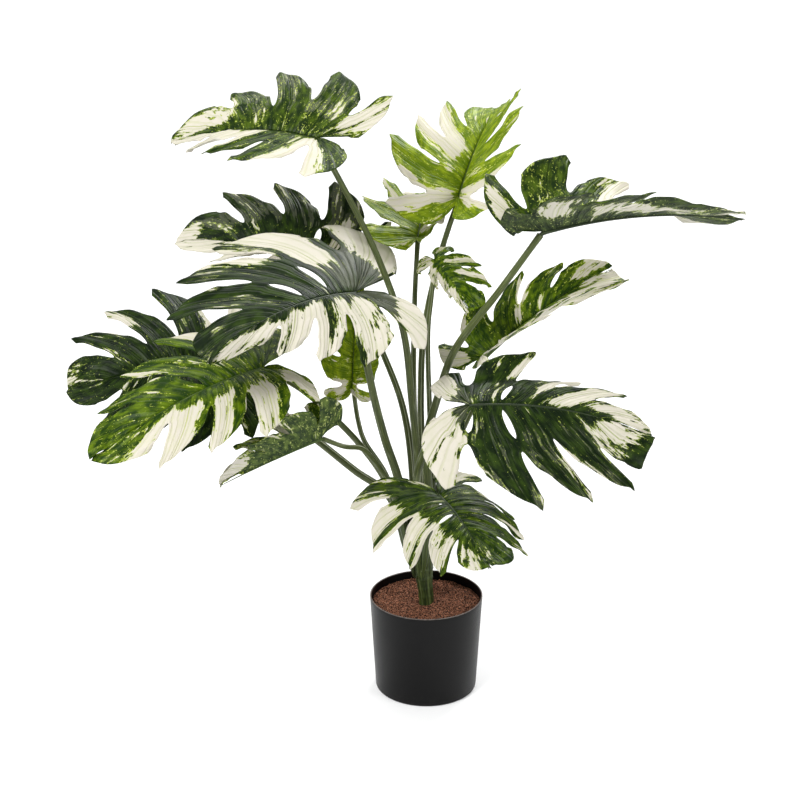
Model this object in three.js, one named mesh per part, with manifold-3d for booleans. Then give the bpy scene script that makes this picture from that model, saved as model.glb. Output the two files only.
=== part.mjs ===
// A variegated Monstera in a plain black nursery pot: 14 split leaves on long stalks that rise from one short cane.
// Millimetres, +Z up. The origin is the middle of the pot's flat underside, and the plant is seen from -Y.
import * as THREE from 'three';
import { mergeVertices } from 'three/addons/utils/BufferGeometryUtils.js';
import Module from 'manifold-3d';

const wasm = await Module();
wasm.setup();

// Driving sizes of the pot and its soil.
const POT_HEIGHT = 133;
const RIM_RADIUS = 75;
const FOOT_RADIUS = 67.5;
const POT_WALL = 1.8;
const POT_FLOOR = 2.5;
const SOIL_LEVEL = 122;
const FIT_GAP = 0.3;

// Driving sizes of the cane, the stalks and the blades.
const CANE_DEPTH = 50;
const CANE_RADIUS = 9;
const CROWN_LEVEL = 200;
const CROWN_RADIUS = 15;
const CROWN_LEAN = -7;
const CROWN_SPREAD = 10;
const STALK_START = 160;
const STALK_RADIUS = 5.8;
const STALK_TAPER = 0.65;
const STALK_DROP = 4.6;
const FREE_HEIGHT = 262;
const BLADE_THICKNESS = 0.9;
const RIB_DEPTH = 3.6;

// The flat half leaf, in shares of the leaf's length. Each pair is [place round the half leaf, value],
// where place 0 is the notch edge behind the stalk and place 1 is the tip.
const VEIN_ANGLE = [[0, 166], [0.12, 142], [0.3, 104], [0.5, 80], [0.7, 62], [0.86, 42], [1, 0]];
const VEIN_LENGTH = [[0, 0.34], [0.1, 0.46], [0.25, 0.54], [0.42, 0.56], [0.6, 0.5], [0.76, 0.42], [0.9, 0.3], [1, 0.22]];
const VEIN_SWEEP = [[0, 10], [0.2, 24], [0.5, 34], [0.8, 26], [1, 0]];
const NOTCH_SHARE = 0.2;
const LAST_VEIN = 0.78;

// A lobe: the shares of the way out where its rows lie, the shares across where its columns lie, and its cut end.
const ROWS = [0, 0.2, 0.34, 0.46, 0.72, 1];
const HOLED_ROWS = [0, 0.07, 0.2, 0.34, 0.46, 0.72, 1];
const DEEP_SLIT = 0.34;
const SHORT_SLIT = 0.46;
const COLUMNS = [0, 0.5, 1];
const END_COLUMNS = [0, 0.3, 0.62, 0.9, 1];
const LOBE_POINT = 0.9;
const SHOULDER_LOSS = 0.25;
const CORNER_LOSS = 0.06;
const SLIT_SHARE = 0.095;
const HOLE_ROW = 0.2;
const HOLE_HALF = 0.13;
const RAGGED = 9;

// The leaves. base is where the stalk meets the blade and tip is the end of the midrib, both in mm.
// roll turns the blade about the line from base to tip, and bend is how far the midrib arches over, in degrees.
// fold lifts the halves like pages, and arch curls them down towards their edges, in degrees.
// fold and reach hold the left half's value at the notch and at the tip, then the same for the right half.
// reach scales the lobes, and rake swings them towards the tip. via are points that the stalk passes on its way up,
// thick scales the stalk, free is the height at which the stalk leaves the crown, and drop is how far below the
// notch its end lies. deep is the share of deep slits, open scales the slits' width, holes lists the holes as
// [half, boundary], and raised the lobes that stand out of line, as [half, lobe, mm].
const LEAVES = [
  { name: 'top_left', base: [-136, -40, 762], tip: [-318, 40, 734], roll: -5, bend: 35, fold: [5, -5, 42, 36], arch: [20, 25], reach: [0.95, 0.85, 1, 1], rake: [15, -15], lobes: 5, seed: 1, thick: 0.95, via: [[-12, -8, 316], [-20, -15, 415], [-31, -20, 511], [-62, -28, 608], [-96, -35, 684]] },
  { name: 'top_middle', base: [40, 80, 658], tip: [95, 222, 744], roll: 0, bend: 30, fold: [60, 12, 50, 45], arch: [25, 25], reach: [1.1, 1.15, 0.9, 1.25], rake: [0, 0], lobes: 5, seed: 2, thick: 0.9, via: [[-6, 14, 309], [-8, 24, 408], [-4, 38, 492], [14, 55, 577], [27, 64, 620]] },
  { name: 'top_right', base: [140, -30, 643], tip: [394, 0, 649], roll: 0, bend: 25, fold: [85, -45, 65, 8], arch: [15, 15], reach: [0.7, 0.95, 0.6, 0.9], rake: [0, 0], lobes: 5, seed: 3, thick: 1.1, via: [[2, -10, 289], [-1, -5, 356], [12, 2, 408], [34, -10, 481], [89, -33, 568]] },
  { name: 'back_middle', base: [-12, 90, 601], tip: [5, 230, 625], roll: 0, bend: 25, fold: [45, 15, 50, 50], arch: [25, 25], reach: [1, 1.3, 0.5, 0.9], rake: [0, 0], lobes: 4, seed: 4, thick: 0.8, via: [[-12, 24, 306], [-17, 36, 405], [-16, 60, 525]] },
  { name: 'upper_left', base: [-120, 95, 566], tip: [-330, 115, 585], roll: -5, bend: 30, fold: [20, -15, 62, 36], arch: [20, 20], reach: [0.28, 1.05, 0.75, 1.12], rake: [0, -10], lobes: 5, seed: 5, thick: 0.9, drop: 3.2, holes: [[1, 2]], via: [[-22, 20, 335], [-34, 42, 394], [-59, 62, 456], [-87, 80, 519]] },
  { name: 'middle_left', base: [-90, -60, 574], tip: [-258, -215, 538], roll: 0, bend: 40, fold: [-5, -60, 40, 0], arch: [40, 20], reach: [1, 0.5, 1.65, 1.25], rake: [0, 0], lobes: 5, seed: 6, thick: 1.1, holes: [[1, 2], [1, 3]], via: [[-36, -6, 296], [-54, -24, 364], [-67, -40, 424], [-79, -54, 496]] },
  { name: 'low_left_front', base: [-205, -90, 486], tip: [-403, -190, 402], roll: -25, bend: 40, fold: [10, 5, -10, 10], arch: [30, 25], reach: [0.6, 1, 1, 1], rake: [0, 12], lobes: 5, seed: 7, thick: 0.9, holes: [[1, 3]], free: 290, via: [[-52, -10, 297], [-86, -12, 352], [-125, -15, 397], [-162, -48, 444]] },
  { name: 'low_left_back', base: [-284, 20, 443], tip: [-460, -20, 428], roll: -30, bend: 40, fold: [0, 0, 20, 20], arch: [25, 25], reach: [1.1, 1.2, 1.3, 1.3], rake: [0, 0], lobes: 5, seed: 8, thick: 1, free: 292, via: [[-48, 3, 272], [-94, 6, 309], [-143, 14, 348], [-215, 38, 398]] },
  { name: 'inner_left', base: [-97, 30, 418], tip: [-86, 68, 568], roll: 0, bend: 20, fold: [30, 15, 40, 25], arch: [20, 20], reach: [0.35, 0.85, 0.35, 0.75], rake: [0, 0], lobes: 4, seed: 9, thick: 0.75, via: [[-52, 14, 296], [-82, 20, 346], [-90, 24, 374]] },
  { name: 'bottom_left', base: [-134, -70, 386], tip: [-258, -130, 346], roll: 0, bend: 5, fold: [75, 65, 30, 20], arch: [20, 20], reach: [0.8, 0.8, 0.6, 1.05], rake: [0, 0], lobes: 4, seed: 10, thick: 0.8, drop: 3.2, open: 0.5, via: [[-46, -27, 297], [-68, -38, 341], [-84, -48, 362], [-105, -59, 369]] },
  { name: 'inner_right', base: [9, 25, 590], tip: [53, -25, 536], roll: 20, bend: 30, fold: [-10, 12, -50, -60], arch: [30, 30], reach: [0.6, 1.6, 0.6, 0.7], rake: [0, 0], lobes: 4, seed: 11, thick: 0.75, free: 300, via: [[8, 6, 300], [3, 18, 400], [1, 18, 500], [6, 28, 550]] },
  { name: 'middle_right', base: [74, 40, 454], tip: [244, 120, 550], roll: 0, bend: 20, fold: [30, 40, 48, -10], arch: [20, 20], reach: [0.6, 0.95, 0.28, 1.7], rake: [10, 25], lobes: 5, seed: 12, thick: 0.85, free: 300, deep: 1, via: [[20, 12, 300], [50, 24, 367], [72, 35, 417]] },
  { name: 'low_right', base: [52, -97, 440], tip: [279, -70, 387], roll: 25, bend: 40, fold: [-20, 22, 0, -45], arch: [25, 25], reach: [0.66, 1, 0.8, 1.6], rake: [20, 15], lobes: 5, seed: 13, raised: [[-1, 1, 18]], thick: 1.1, holes: [[1, 1], [1, 2], [-1, 2]], via: [[-14, -30, 303], [-3, -55, 363], [21, -78, 406]] },
  { name: 'front_low', base: [16, -80, 311], tip: [75, -195, 261], roll: 0, bend: 30, fold: [5, 5, 5, 5], arch: [30, 30], reach: [1.2, 1.5, 1.6, 1.4], rake: [0, 0], lobes: 5, seed: 14, thick: 0.9, drop: 3.6, holes: [[1, 2], [1, 3]], open: 0.8, via: [[2, -36, 246]] },
];

const FINISH = {
  blade: new THREE.MeshStandardMaterial({ name: 'blade', color: 0x3f6b26, roughness: 0.45, metalness: 0 }),
  stalk: new THREE.MeshStandardMaterial({ name: 'stalk', color: 0x4c6136, roughness: 0.5, metalness: 0 }),
  cane: new THREE.MeshStandardMaterial({ name: 'cane', color: 0x3b5424, roughness: 0.6, metalness: 0 }),
  soil: new THREE.MeshStandardMaterial({ name: 'soil', color: 0x6a4030, roughness: 0.95, metalness: 0 }),
  pot: new THREE.MeshStandardMaterial({ name: 'pot', color: 0x1c1c1d, roughness: 0.4, metalness: 0 }),
};

const part = new THREE.Group();

function addPiece(name, geometry, material) {
  const mesh = new THREE.Mesh(geometry, material);
  mesh.name = name;
  part.add(mesh);
}

// A number from 0 to 1 that is always the same for the same seed and index.
function draw(seed, index) {
  const wave = Math.sin(seed * 78.233 + index * 12.9898) * 43758.5453;
  return wave - Math.floor(wave);
}

// A smooth line through pairs of [place, value].
function along(pairs, at) {
  let k = 0;
  while (k < pairs.length - 2 && at > pairs[k + 1][0]) k++;
  const slope = (i) => {
    const before = pairs[Math.max(i - 1, 0)];
    const after = pairs[Math.min(i + 1, pairs.length - 1)];
    return (after[1] - before[1]) / (after[0] - before[0]);
  };
  const span = pairs[k + 1][0] - pairs[k][0];
  const t = (at - pairs[k][0]) / span;
  const rise = t * t * (3 - 2 * t);
  return pairs[k][1] * (1 - rise) + pairs[k + 1][1] * rise
    + span * t * (1 - t) * (slope(k) * (1 - t) - slope(k + 1) * t);
}

function smoothStep(x) {
  const t = THREE.MathUtils.clamp(x, 0, 1);
  return t * t * (3 - 2 * t);
}

// Half the width of the slit or hole at a boundary between two lobes, as a share of a lobe's width.
function openingAt(leaf, side, boundary, t) {
  if (boundary === 0 || boundary === leaf.lobes) return 0;
  const start = slitStart(leaf, side, boundary);
  if (t > start) {
    const depth = (t - start) / (1 - start);
    const mouth = Math.sqrt(1 - (1 - Math.min(depth / 0.4, 1)) ** 2);
    return SLIT_SHARE * (leaf.open ?? 1) * mouth * (1 + 0.5 * smoothStep((depth - 0.4) / 0.6));
  }
  if (hasHole(leaf, side, boundary) && Math.abs(t - HOLE_ROW) < HOLE_HALF)
    return SLIT_SHARE * Math.sqrt(1 - ((t - HOLE_ROW) / HOLE_HALF) ** 2);
  return 0;
}

function hasHole(leaf, side, boundary) {
  return (leaf.holes ?? []).some(([s, b]) => s === side && b === boundary);
}

// How far a lobe that stands out of line is raised at its end, in mm.
function raiseOf(leaf, side, lobe) {
  const found = (leaf.raised ?? []).find(([s, k]) => s === side && k === lobe);
  return found ? found[2] : 0;
}

function slitStart(leaf, side, boundary) {
  if (hasHole(leaf, side, boundary)) return SHORT_SLIT;
  const deep = draw(leaf.seed, side * 10 + boundary) < (leaf.deep ?? 0.5);
  return deep ? DEEP_SLIT : SHORT_SLIT;
}

// Where lobe number k begins round the half leaf: the lobes are a little wider in the middle than at the ends.
function placeOf(leaf, k) {
  const share = k / leaf.lobes;
  return share + 0.03 * Math.sin(2 * Math.PI * share);
}

// A half's value part of the way from the notch to the tip.
function mixAlong(values, side, place) {
  const first = side < 0 ? 0 : 2;
  return THREE.MathUtils.lerp(values[first], values[first + 1], place);
}

// A point on the flat half leaf, [across, along], in shares of the leaf's length, and how free its lobe is there.
function flatPoint(leaf, side, lobe, f, t) {
  const from = placeOf(leaf, lobe);
  const to = placeOf(leaf, lobe + 1);
  const low = from + openingAt(leaf, side, lobe, t) * (to - from);
  const high = to - openingAt(leaf, side, lobe + 1, t) * (to - from);
  const place = low + (high - low) * f;
  const root = LAST_VEIN * Math.max(0, (place - NOTCH_SHARE) / (1 - NOTCH_SHARE)) ** 1.25;
  const last = lobe === leaf.lobes - 1;
  const free = slitStart(leaf, side, lobe) * (1 - f) + (last ? SHORT_SLIT : slitStart(leaf, side, lobe + 1)) * f;
  const loose = smoothStep((t - free) / (1 - free));
  const shoulder = Math.max(0, 1 - f / LOBE_POINT) ** 1.7;
  const corner = last ? 0 : Math.max(0, (f - LOBE_POINT) / (1 - LOBE_POINT)) ** 1.3;
  const reach = 1 - loose * (SHOULDER_LOSS * shoulder + CORNER_LOSS * corner);
  const rake = leaf.rake[side < 0 ? 0 : 1] * smoothStep(place / 0.3) * smoothStep((1 - place) / 0.3);
  const angle = THREE.MathUtils.degToRad(along(VEIN_ANGLE, place) - rake);
  const turned = angle - THREE.MathUtils.degToRad(along(VEIN_SWEEP, place));
  const scale = THREE.MathUtils.lerp(mixAlong(leaf.reach, side, place), 1, smoothStep((place - 0.85) / 0.15));
  const length = along(VEIN_LENGTH, place) * reach * scale;
  const early = length * (t - t * t / 2);
  const late = length * (t * t / 2);
  return {
    place,
    across: Math.sin(angle) * early + Math.sin(turned) * late,
    ahead: root + Math.cos(angle) * early + Math.cos(turned) * late,
    loose,
  };
}

// The leaf's own frame: the line from base to tip, the upward side of the blade, and the length of the arched midrib.
function frameOf(leaf) {
  const base = new THREE.Vector3(...leaf.base);
  const chord = new THREE.Vector3(...leaf.tip).sub(base);
  const forward = chord.clone().normalize();
  const sideways = forward.clone().cross(new THREE.Vector3(0, 0, 1)).normalize();
  const up = sideways.clone().cross(forward).applyAxisAngle(forward, THREE.MathUtils.degToRad(leaf.roll));
  const bend = THREE.MathUtils.degToRad(leaf.bend);
  return { base, forward, up, right: forward.clone().cross(up), bend, length: chord.length() * (bend / 2) / Math.sin(bend / 2) };
}

// A point of the blade in space. side is -1 for the left half and 1 for the right half, seen from above with the tip ahead.
function bladePoint(leaf, frame, side, lobe, f, t) {
  const flat = flatPoint(leaf, side, lobe, f, t);
  const ahead = flat.ahead * frame.length;
  const across = flat.across * frame.length;
  const turn = frame.bend / 2 - frame.bend * THREE.MathUtils.clamp(flat.ahead, 0, 1);
  const radius = frame.length / frame.bend;
  const behind = Math.min(ahead, 0);
  const run = radius * (Math.sin(frame.bend / 2) - Math.sin(turn)) + behind * Math.cos(frame.bend / 2);
  const rise = radius * (Math.cos(turn) - Math.cos(frame.bend / 2)) + behind * Math.sin(frame.bend / 2);
  const half = side < 0 ? 0 : 1;
  const fold = THREE.MathUtils.degToRad(mixAlong(leaf.fold, side, flat.place));
  const curl = THREE.MathUtils.degToRad(leaf.arch[half]) / (0.5 * frame.length);
  const out = (Math.sin(fold) - Math.sin(fold - curl * across)) / curl;
  const lift = (Math.cos(fold - curl * across) - Math.cos(fold)) / curl;
  const tilt = fold - curl * across;
  const wander = RAGGED * (2 * draw(leaf.seed, 50 + side * 20 + lobe) - 1) * (leaf.ragged ?? 1) + raiseOf(leaf, side, lobe);
  const twist = RAGGED * (2 * draw(leaf.seed, 90 + side * 20 + lobe) - 1) * (f - 0.5) * (leaf.ragged ?? 1);
  const stray = flat.loose * (wander + twist);
  const normal = frame.up.clone().multiplyScalar(Math.cos(turn)).addScaledVector(frame.forward, -Math.sin(turn));
  return frame.base.clone()
    .addScaledVector(frame.forward, run)
    .addScaledVector(frame.up, rise)
    .addScaledVector(frame.right, side * (out - stray * Math.sin(tilt)))
    .addScaledVector(normal, lift + stray * Math.cos(tilt));
}

// The blade's middle surface as loose triangles, lobe by lobe, with the depth of the rib below each corner.
function bladeSurface(leaf, frame) {
  const rows = leaf.holes ? HOLED_ROWS : ROWS;
  const positions = [];
  const depths = [];
  const corner = (side, lobe, f, t) => {
    const point = bladePoint(leaf, frame, side, lobe, f, t);
    const ahead = flatPoint(leaf, side, lobe, f, t).ahead;
    positions.push(point.x, point.y, point.z);
    depths.push(t === 0 ? RIB_DEPTH * (1 - 0.8 * ahead) : 0);
  };
  for (const side of [-1, 1])
    for (let lobe = 0; lobe < leaf.lobes; lobe++)
      for (let row = 0; row < rows.length - 1; row++) {
        const outer = row === rows.length - 2 ? END_COLUMNS : COLUMNS;
        let [i, j] = [0, 0];
        while (i < COLUMNS.length - 1 || j < outer.length - 1) {
          const three = [[COLUMNS[i], rows[row]], [outer[j], rows[row + 1]]];
          const step = j < outer.length - 1 && (i === COLUMNS.length - 1 || outer[j + 1] <= COLUMNS[i + 1]);
          if (step) three.push([outer[++j], rows[row + 1]]);
          else three.push([COLUMNS[++i], rows[row]]);
          if (side < 0) three.reverse();
          three.forEach(([f, t]) => corner(side, lobe, f, t));
        }
      }
  return new THREE.BufferGeometry()
    .setAttribute('position', new THREE.Float32BufferAttribute(positions, 3))
    .setAttribute('depth', new THREE.Float32BufferAttribute(depths, 1));
}

// A closed sheet round a surface: each point goes up and down along its normal, and the open edges get walls.
function thicken(surface, thickness) {
  const sheet = mergeVertices(surface, 0.01);
  const index = [...sheet.index.array];
  const kept = [];
  for (let i = 0; i < index.length; i += 3) {
    const [a, b, c] = index.slice(i, i + 3);
    if (a !== b && b !== c && c !== a) kept.push(a, b, c);
  }
  sheet.setIndex(kept);
  sheet.computeVertexNormals();
  const count = sheet.attributes.position.count;
  const points = new Float32Array(count * 6);
  const point = new THREE.Vector3();
  const normal = new THREE.Vector3();
  for (let i = 0; i < count; i++) {
    normal.fromBufferAttribute(sheet.attributes.normal, i);
    point.fromBufferAttribute(sheet.attributes.position, i).addScaledVector(normal, thickness / 2).toArray(points, i * 3);
    const depth = thickness + sheet.attributes.depth.getX(i);
    point.addScaledVector(normal, -depth).toArray(points, (count + i) * 3);
  }
  const faces = [];
  const edges = new Map();
  for (let i = 0; i < kept.length; i += 3) {
    const [a, b, c] = kept.slice(i, i + 3);
    faces.push(a, b, c, count + a, count + c, count + b);
    for (const [from, to] of [[a, b], [b, c], [c, a]]) {
      if (edges.has(`${to} ${from}`)) edges.delete(`${to} ${from}`);
      else edges.set(`${from} ${to}`, [from, to]);
    }
  }
  for (const [from, to] of edges.values()) faces.push(from, count + from, to, to, count + from, count + to);
  return new THREE.BufferGeometry()
    .setAttribute('position', new THREE.BufferAttribute(points, 3))
    .setIndex(faces);
}

// A tube along a curve with a radius that changes on the way, closed at both ends.
function taperedTube(curve, radiusAt, sides, steps, from = 0, to = 1) {
  const frames = curve.computeFrenetFrames(steps * 8, false);
  const points = [];
  const faces = [];
  for (let i = 0; i <= steps; i++) {
    const u = Math.min(from + (to - from) * i / steps, 1);
    const at = curve.getPointAt(u);
    const k = Math.round(u * steps * 8);
    for (let j = 0; j < sides; j++) {
      const angle = 2 * Math.PI * j / sides;
      const spoke = frames.normals[k].clone().multiplyScalar(Math.cos(angle))
        .addScaledVector(frames.binormals[k], Math.sin(angle));
      points.push(...at.clone().addScaledVector(spoke, radiusAt(u)).toArray());
      const next = (j + 1) % sides;
      if (i < steps) faces.push(i * sides + j, i * sides + next, (i + 1) * sides + next);
      if (i < steps) faces.push(i * sides + j, (i + 1) * sides + next, (i + 1) * sides + j);
    }
  }
  for (let j = 1; j < sides - 1; j++) {
    const end = steps * sides;
    faces.push(0, j + 1, j, end, end + j, end + j + 1);
  }
  return new THREE.BufferGeometry()
    .setAttribute('position', new THREE.Float32BufferAttribute(points, 3))
    .setIndex(faces);
}

function toSolid(geometry) {
  const plain = new THREE.BufferGeometry().setAttribute('position', geometry.attributes.position);
  plain.setIndex(geometry.index);
  const merged = mergeVertices(plain, 1e-4);
  return new wasm.Manifold(new wasm.Mesh({
    numProp: 3,
    vertProperties: new Float32Array(merged.attributes.position.array),
    triVerts: new Uint32Array(merged.index.array),
  }));
}

function toGeometry(solid) {
  const mesh = solid.getMesh();
  return new THREE.BufferGeometry()
    .setAttribute('position', new THREE.BufferAttribute(mesh.vertProperties, 3))
    .setIndex(new THREE.BufferAttribute(mesh.triVerts, 1));
}

function largestPiece(solid) {
  return solid.decompose().reduce((a, b) => (b.volume() > a.volume() ? b : a));
}

// The pot: a tapered shell with a rounded rim and a flat floor.
function makePot() {
  const inner = (z) => FOOT_RADIUS - POT_WALL + (RIM_RADIUS - FOOT_RADIUS) * z / POT_HEIGHT;
  const profile = [
    [0, 0], [FOOT_RADIUS - 3, 0], [FOOT_RADIUS, 3],
    [RIM_RADIUS - 0.4, POT_HEIGHT - 1.6], [RIM_RADIUS, POT_HEIGHT - 0.8], [RIM_RADIUS - POT_WALL / 2, POT_HEIGHT],
    [inner(POT_HEIGHT), POT_HEIGHT - 0.8], [inner(POT_FLOOR), POT_FLOOR], [0, POT_FLOOR],
  ].map(([r, z]) => new THREE.Vector2(r, z));
  const shell = new THREE.LatheGeometry(profile, 40);
  shell.rotateX(Math.PI / 2);
  addPiece('pot', shell, FINISH.pot);
}

// The soil: it fills the pot to a little below the rim, with a plain hole for the cane and a slightly uneven top.
function makeSoil() {
  const inner = (z) => FOOT_RADIUS - POT_WALL - FIT_GAP + (RIM_RADIUS - FOOT_RADIUS) * z / POT_HEIGHT;
  const hole = CANE_RADIUS + 2 * FIT_GAP;
  const bottom = POT_FLOOR + FIT_GAP;
  const profile = [[0, bottom], [inner(bottom), bottom], [inner(SOIL_LEVEL), SOIL_LEVEL]];
  for (const r of [62, 52, 42, 32, 22]) profile.push([r, SOIL_LEVEL]);
  profile.push([hole, SOIL_LEVEL], [hole, SOIL_LEVEL - CANE_DEPTH], [0, SOIL_LEVEL - CANE_DEPTH]);
  const soil = new THREE.LatheGeometry(profile.map(([r, z]) => new THREE.Vector2(r, z)), 36);
  soil.rotateX(Math.PI / 2);
  const points = soil.attributes.position;
  for (let i = 0; i < points.count; i++) {
    const [x, y, z] = [points.getX(i), points.getY(i), points.getZ(i)];
    const bump = 1.2 * Math.sin(x / 9) * Math.cos(y / 8) + 0.8 * Math.sin((x + 2 * y) / 13);
    if (z > SOIL_LEVEL - 1) points.setZ(i, z + bump);
  }
  addPiece('soil', toGeometry(toSolid(soil)), FINISH.soil);
}

// The line a stalk follows: out of the crown, through its via points, to the notch of its blade.
function stalkCurve(leaf) {
  const [x, y] = leaf.via[0];
  const away = Math.atan2(y, x - CROWN_LEAN);
  const start = [CROWN_LEAN + CROWN_SPREAD * Math.cos(away), CROWN_SPREAD * Math.sin(away), STALK_START];
  const { base, forward, up } = frameOf(leaf);
  const drop = leaf.drop ?? STALK_DROP;
  const end = base.clone().addScaledVector(up, -drop).addScaledVector(forward, -drop / 2);
  return new THREE.CatmullRomCurve3([...[start, ...leaf.via].map((p) => new THREE.Vector3(...p)), end]);
}

// The share of the curve at which the stalk has risen to a height.
function shareAtHeight(curve, height) {
  let u = 0;
  while (u < 1 && curve.getPointAt(u).z < height) u += 0.002;
  return u;
}

// The cane comes out of the soil and ends in the crown, where the sheaths of all the stalks are grown together.
function makeCrown(stalks) {
  const cane = new THREE.CatmullRomCurve3([
    new THREE.Vector3(0, 0, SOIL_LEVEL - CANE_DEPTH + FIT_GAP), new THREE.Vector3(0, 0, SOIL_LEVEL),
    new THREE.Vector3(CROWN_LEAN / 2, 0, 160), new THREE.Vector3(CROWN_LEAN, 0, CROWN_LEVEL),
  ]);
  const radiusAt = (u) => CANE_RADIUS + (CROWN_RADIUS - CANE_RADIUS) * smoothStep((u - 0.5) / 0.5);
  let crown = toSolid(taperedTube(cane, radiusAt, 12, 10));
  for (const { curve, radiusAt: radius, free } of stalks)
    crown = crown.add(toSolid(taperedTube(curve, radius, 6, 5, 0, free)));
  addPiece('crown', toGeometry(largestPiece(crown)), FINISH.cane);
  return crown;
}

// A stalk runs from its sheath to the underside of its blade, with a small gap at both ends.
function makeStalk(stalk) {
  const { leaf, frame, curve, radiusAt, free } = stalk;
  const from = free + FIT_GAP / curve.getLength();
  const tube = toSolid(taperedTube(curve, radiusAt, 8, 10, from, 1));
  const padded = toSolid(thicken(bladeSurface(leaf, frame), BLADE_THICKNESS + 2 * FIT_GAP));
  const shifts = [[0, 0], [2, 0], [-2, 0], [0, -2]];
  const rest = shifts.reduce((body, [side, ahead]) => {
    const move = frame.right.clone().multiplyScalar(side * FIT_GAP).addScaledVector(frame.forward, ahead * FIT_GAP);
    return body.subtract(padded.translate([move.x, move.y, move.z]));
  }, tube);
  addPiece(`stalk_${leaf.name}`, toGeometry(largestPiece(rest)), FINISH.stalk);
}

const stalks = LEAVES.map((leaf) => {
  const curve = stalkCurve(leaf);
  const radiusAt = (u) => STALK_RADIUS * leaf.thick * (1 - (1 - STALK_TAPER) * u);
  return { leaf, frame: frameOf(leaf), curve, radiusAt, free: shareAtHeight(curve, leaf.free ?? FREE_HEIGHT) };
});
for (const { leaf, frame } of stalks)
  addPiece(`blade_${leaf.name}`, thicken(bladeSurface(leaf, frame), BLADE_THICKNESS), FINISH.blade);
stalks.forEach(makeStalk);
makeCrown(stalks);
makeSoil();
makePot();

export default part;
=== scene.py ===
# %% [markdown]
# # A variegated Monstera in its nursery pot
#
# The plant has 14 split leaves on long stalks, one short cane, a filling of coconut-fibre soil and a plain
# black pot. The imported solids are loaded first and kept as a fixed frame: they say where every piece stands
# and how big it is. Each piece is then made again with a finer mesh and its own finish, in the same place.

# %% Load the frame
import math

import bmesh
import bpy
from mathutils import Matrix, Vector, noise


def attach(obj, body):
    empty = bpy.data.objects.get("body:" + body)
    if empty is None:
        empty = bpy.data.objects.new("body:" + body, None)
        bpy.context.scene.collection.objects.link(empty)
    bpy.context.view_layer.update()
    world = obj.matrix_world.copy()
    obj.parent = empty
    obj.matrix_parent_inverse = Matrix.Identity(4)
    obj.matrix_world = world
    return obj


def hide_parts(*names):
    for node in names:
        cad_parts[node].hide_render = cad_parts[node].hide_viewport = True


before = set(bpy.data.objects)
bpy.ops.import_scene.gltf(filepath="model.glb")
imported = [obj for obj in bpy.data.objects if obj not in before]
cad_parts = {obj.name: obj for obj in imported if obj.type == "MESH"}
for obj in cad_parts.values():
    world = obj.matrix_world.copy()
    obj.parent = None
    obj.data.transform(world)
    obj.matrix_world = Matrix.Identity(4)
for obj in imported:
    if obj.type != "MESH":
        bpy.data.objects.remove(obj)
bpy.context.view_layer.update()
MM = 0.001
FULL_TURN = 2 * math.pi

# %% [markdown]
# ## The camera
#
# The photograph looks a little down on the plant from well back, so a long lens stands at the height of the
# leaves and is tipped down. A long lens keeps the pot's sides nearly upright, as they are in the photograph.

# %% Camera
camera_data = bpy.data.cameras.new("camera")
LENS = 90
camera_data.lens = LENS
camera_data.sensor_width = 36
camera = bpy.data.objects.new("camera", camera_data)
bpy.context.scene.collection.objects.link(camera)
CAMERA_PITCH = 20.65
CAMERA_PLACE = (-0.035, -2.405, 1.316)
camera.location = CAMERA_PLACE
camera.rotation_euler = (math.radians(90 - CAMERA_PITCH), 0, 0)
bpy.context.scene.camera = camera
print("camera looks down by", CAMERA_PITCH, "degrees")

# %% [markdown]
# ## The floor and the light
#
# A product photograph of a plant is taken on a glowing white sweep under large soft boxes. One big plain
# floor that shines a little stands in for the sweep, so that only the shadow close to the pot shows on it.
# A dim world and a wide ceiling light fill the shaded sides, and a lamp over the far floor keeps the top of
# the picture white. Three smaller lamps give the leaves their soft sheen. The plain Standard view keeps the
# whites white.

# %% Floor
floor_mesh = bpy.data.meshes.new("floor")
floor_bm = bmesh.new()
bmesh.ops.create_grid(floor_bm, x_segments=1, y_segments=1, size=30)
floor_bm.to_mesh(floor_mesh)
floor_bm.free()
floor = bpy.data.objects.new("floor", floor_mesh)
bpy.context.scene.collection.objects.link(floor)
floor_finish = bpy.data.materials.new("floor_sweep")
floor_finish.use_nodes = True
floor_shader = floor_finish.node_tree.nodes["Principled BSDF"]
floor_shader.inputs["Base Color"].default_value = (0.80, 0.80, 0.80, 1)
floor_shader.inputs["Emission Color"].default_value = (0.96, 0.98, 1, 1)
floor_shader.inputs["Emission Strength"].default_value = 0.205
floor_shader.inputs["Roughness"].default_value = 0.9
floor_shader.inputs["Specular IOR Level"].default_value = 0.1
floor_mesh.materials.append(floor_finish)
print("floor", round(floor.dimensions.x), "m wide")

# %% Light
world = bpy.data.worlds.new("studio")
bpy.context.scene.world = world
world.use_nodes = True
world.node_tree.nodes["Background"].inputs["Color"].default_value = (1, 1, 1, 1)
world.node_tree.nodes["Background"].inputs["Strength"].default_value = 0.22
bpy.context.scene.view_settings.view_transform = "Standard"
bpy.context.scene.view_settings.look = "None"


def soft_box(name, place, aim, width, power):
    """A large square lamp at place that shines towards aim."""
    lamp = bpy.data.lights.new(name, "AREA")
    lamp.size = width
    lamp.energy = power
    box = bpy.data.objects.new(name, lamp)
    box.location = place
    box.rotation_euler = (Vector(aim) - Vector(place)).to_track_quat("-Z", "Y").to_euler()
    bpy.context.scene.collection.objects.link(box)


LAMP_WIDTH = 1.2
PLANT_MIDDLE = (0, 0, 0.45)
soft_box("ceiling", (0, 3, 7), (0, 3, 0), 20, 660)
soft_box("background", (0, 7.5, 5), (0, 7.5, 0), 8, 330)
soft_box("key", (-1.6, -1.9, 2.7), PLANT_MIDDLE, LAMP_WIDTH, 92)
soft_box("fill", (2.2, -1.5, 1.5), PLANT_MIDDLE, LAMP_WIDTH, 26)
soft_box("rim", (0.9, 2.0, 2.4), (0, 0, 0.5), LAMP_WIDTH, 46)

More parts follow.
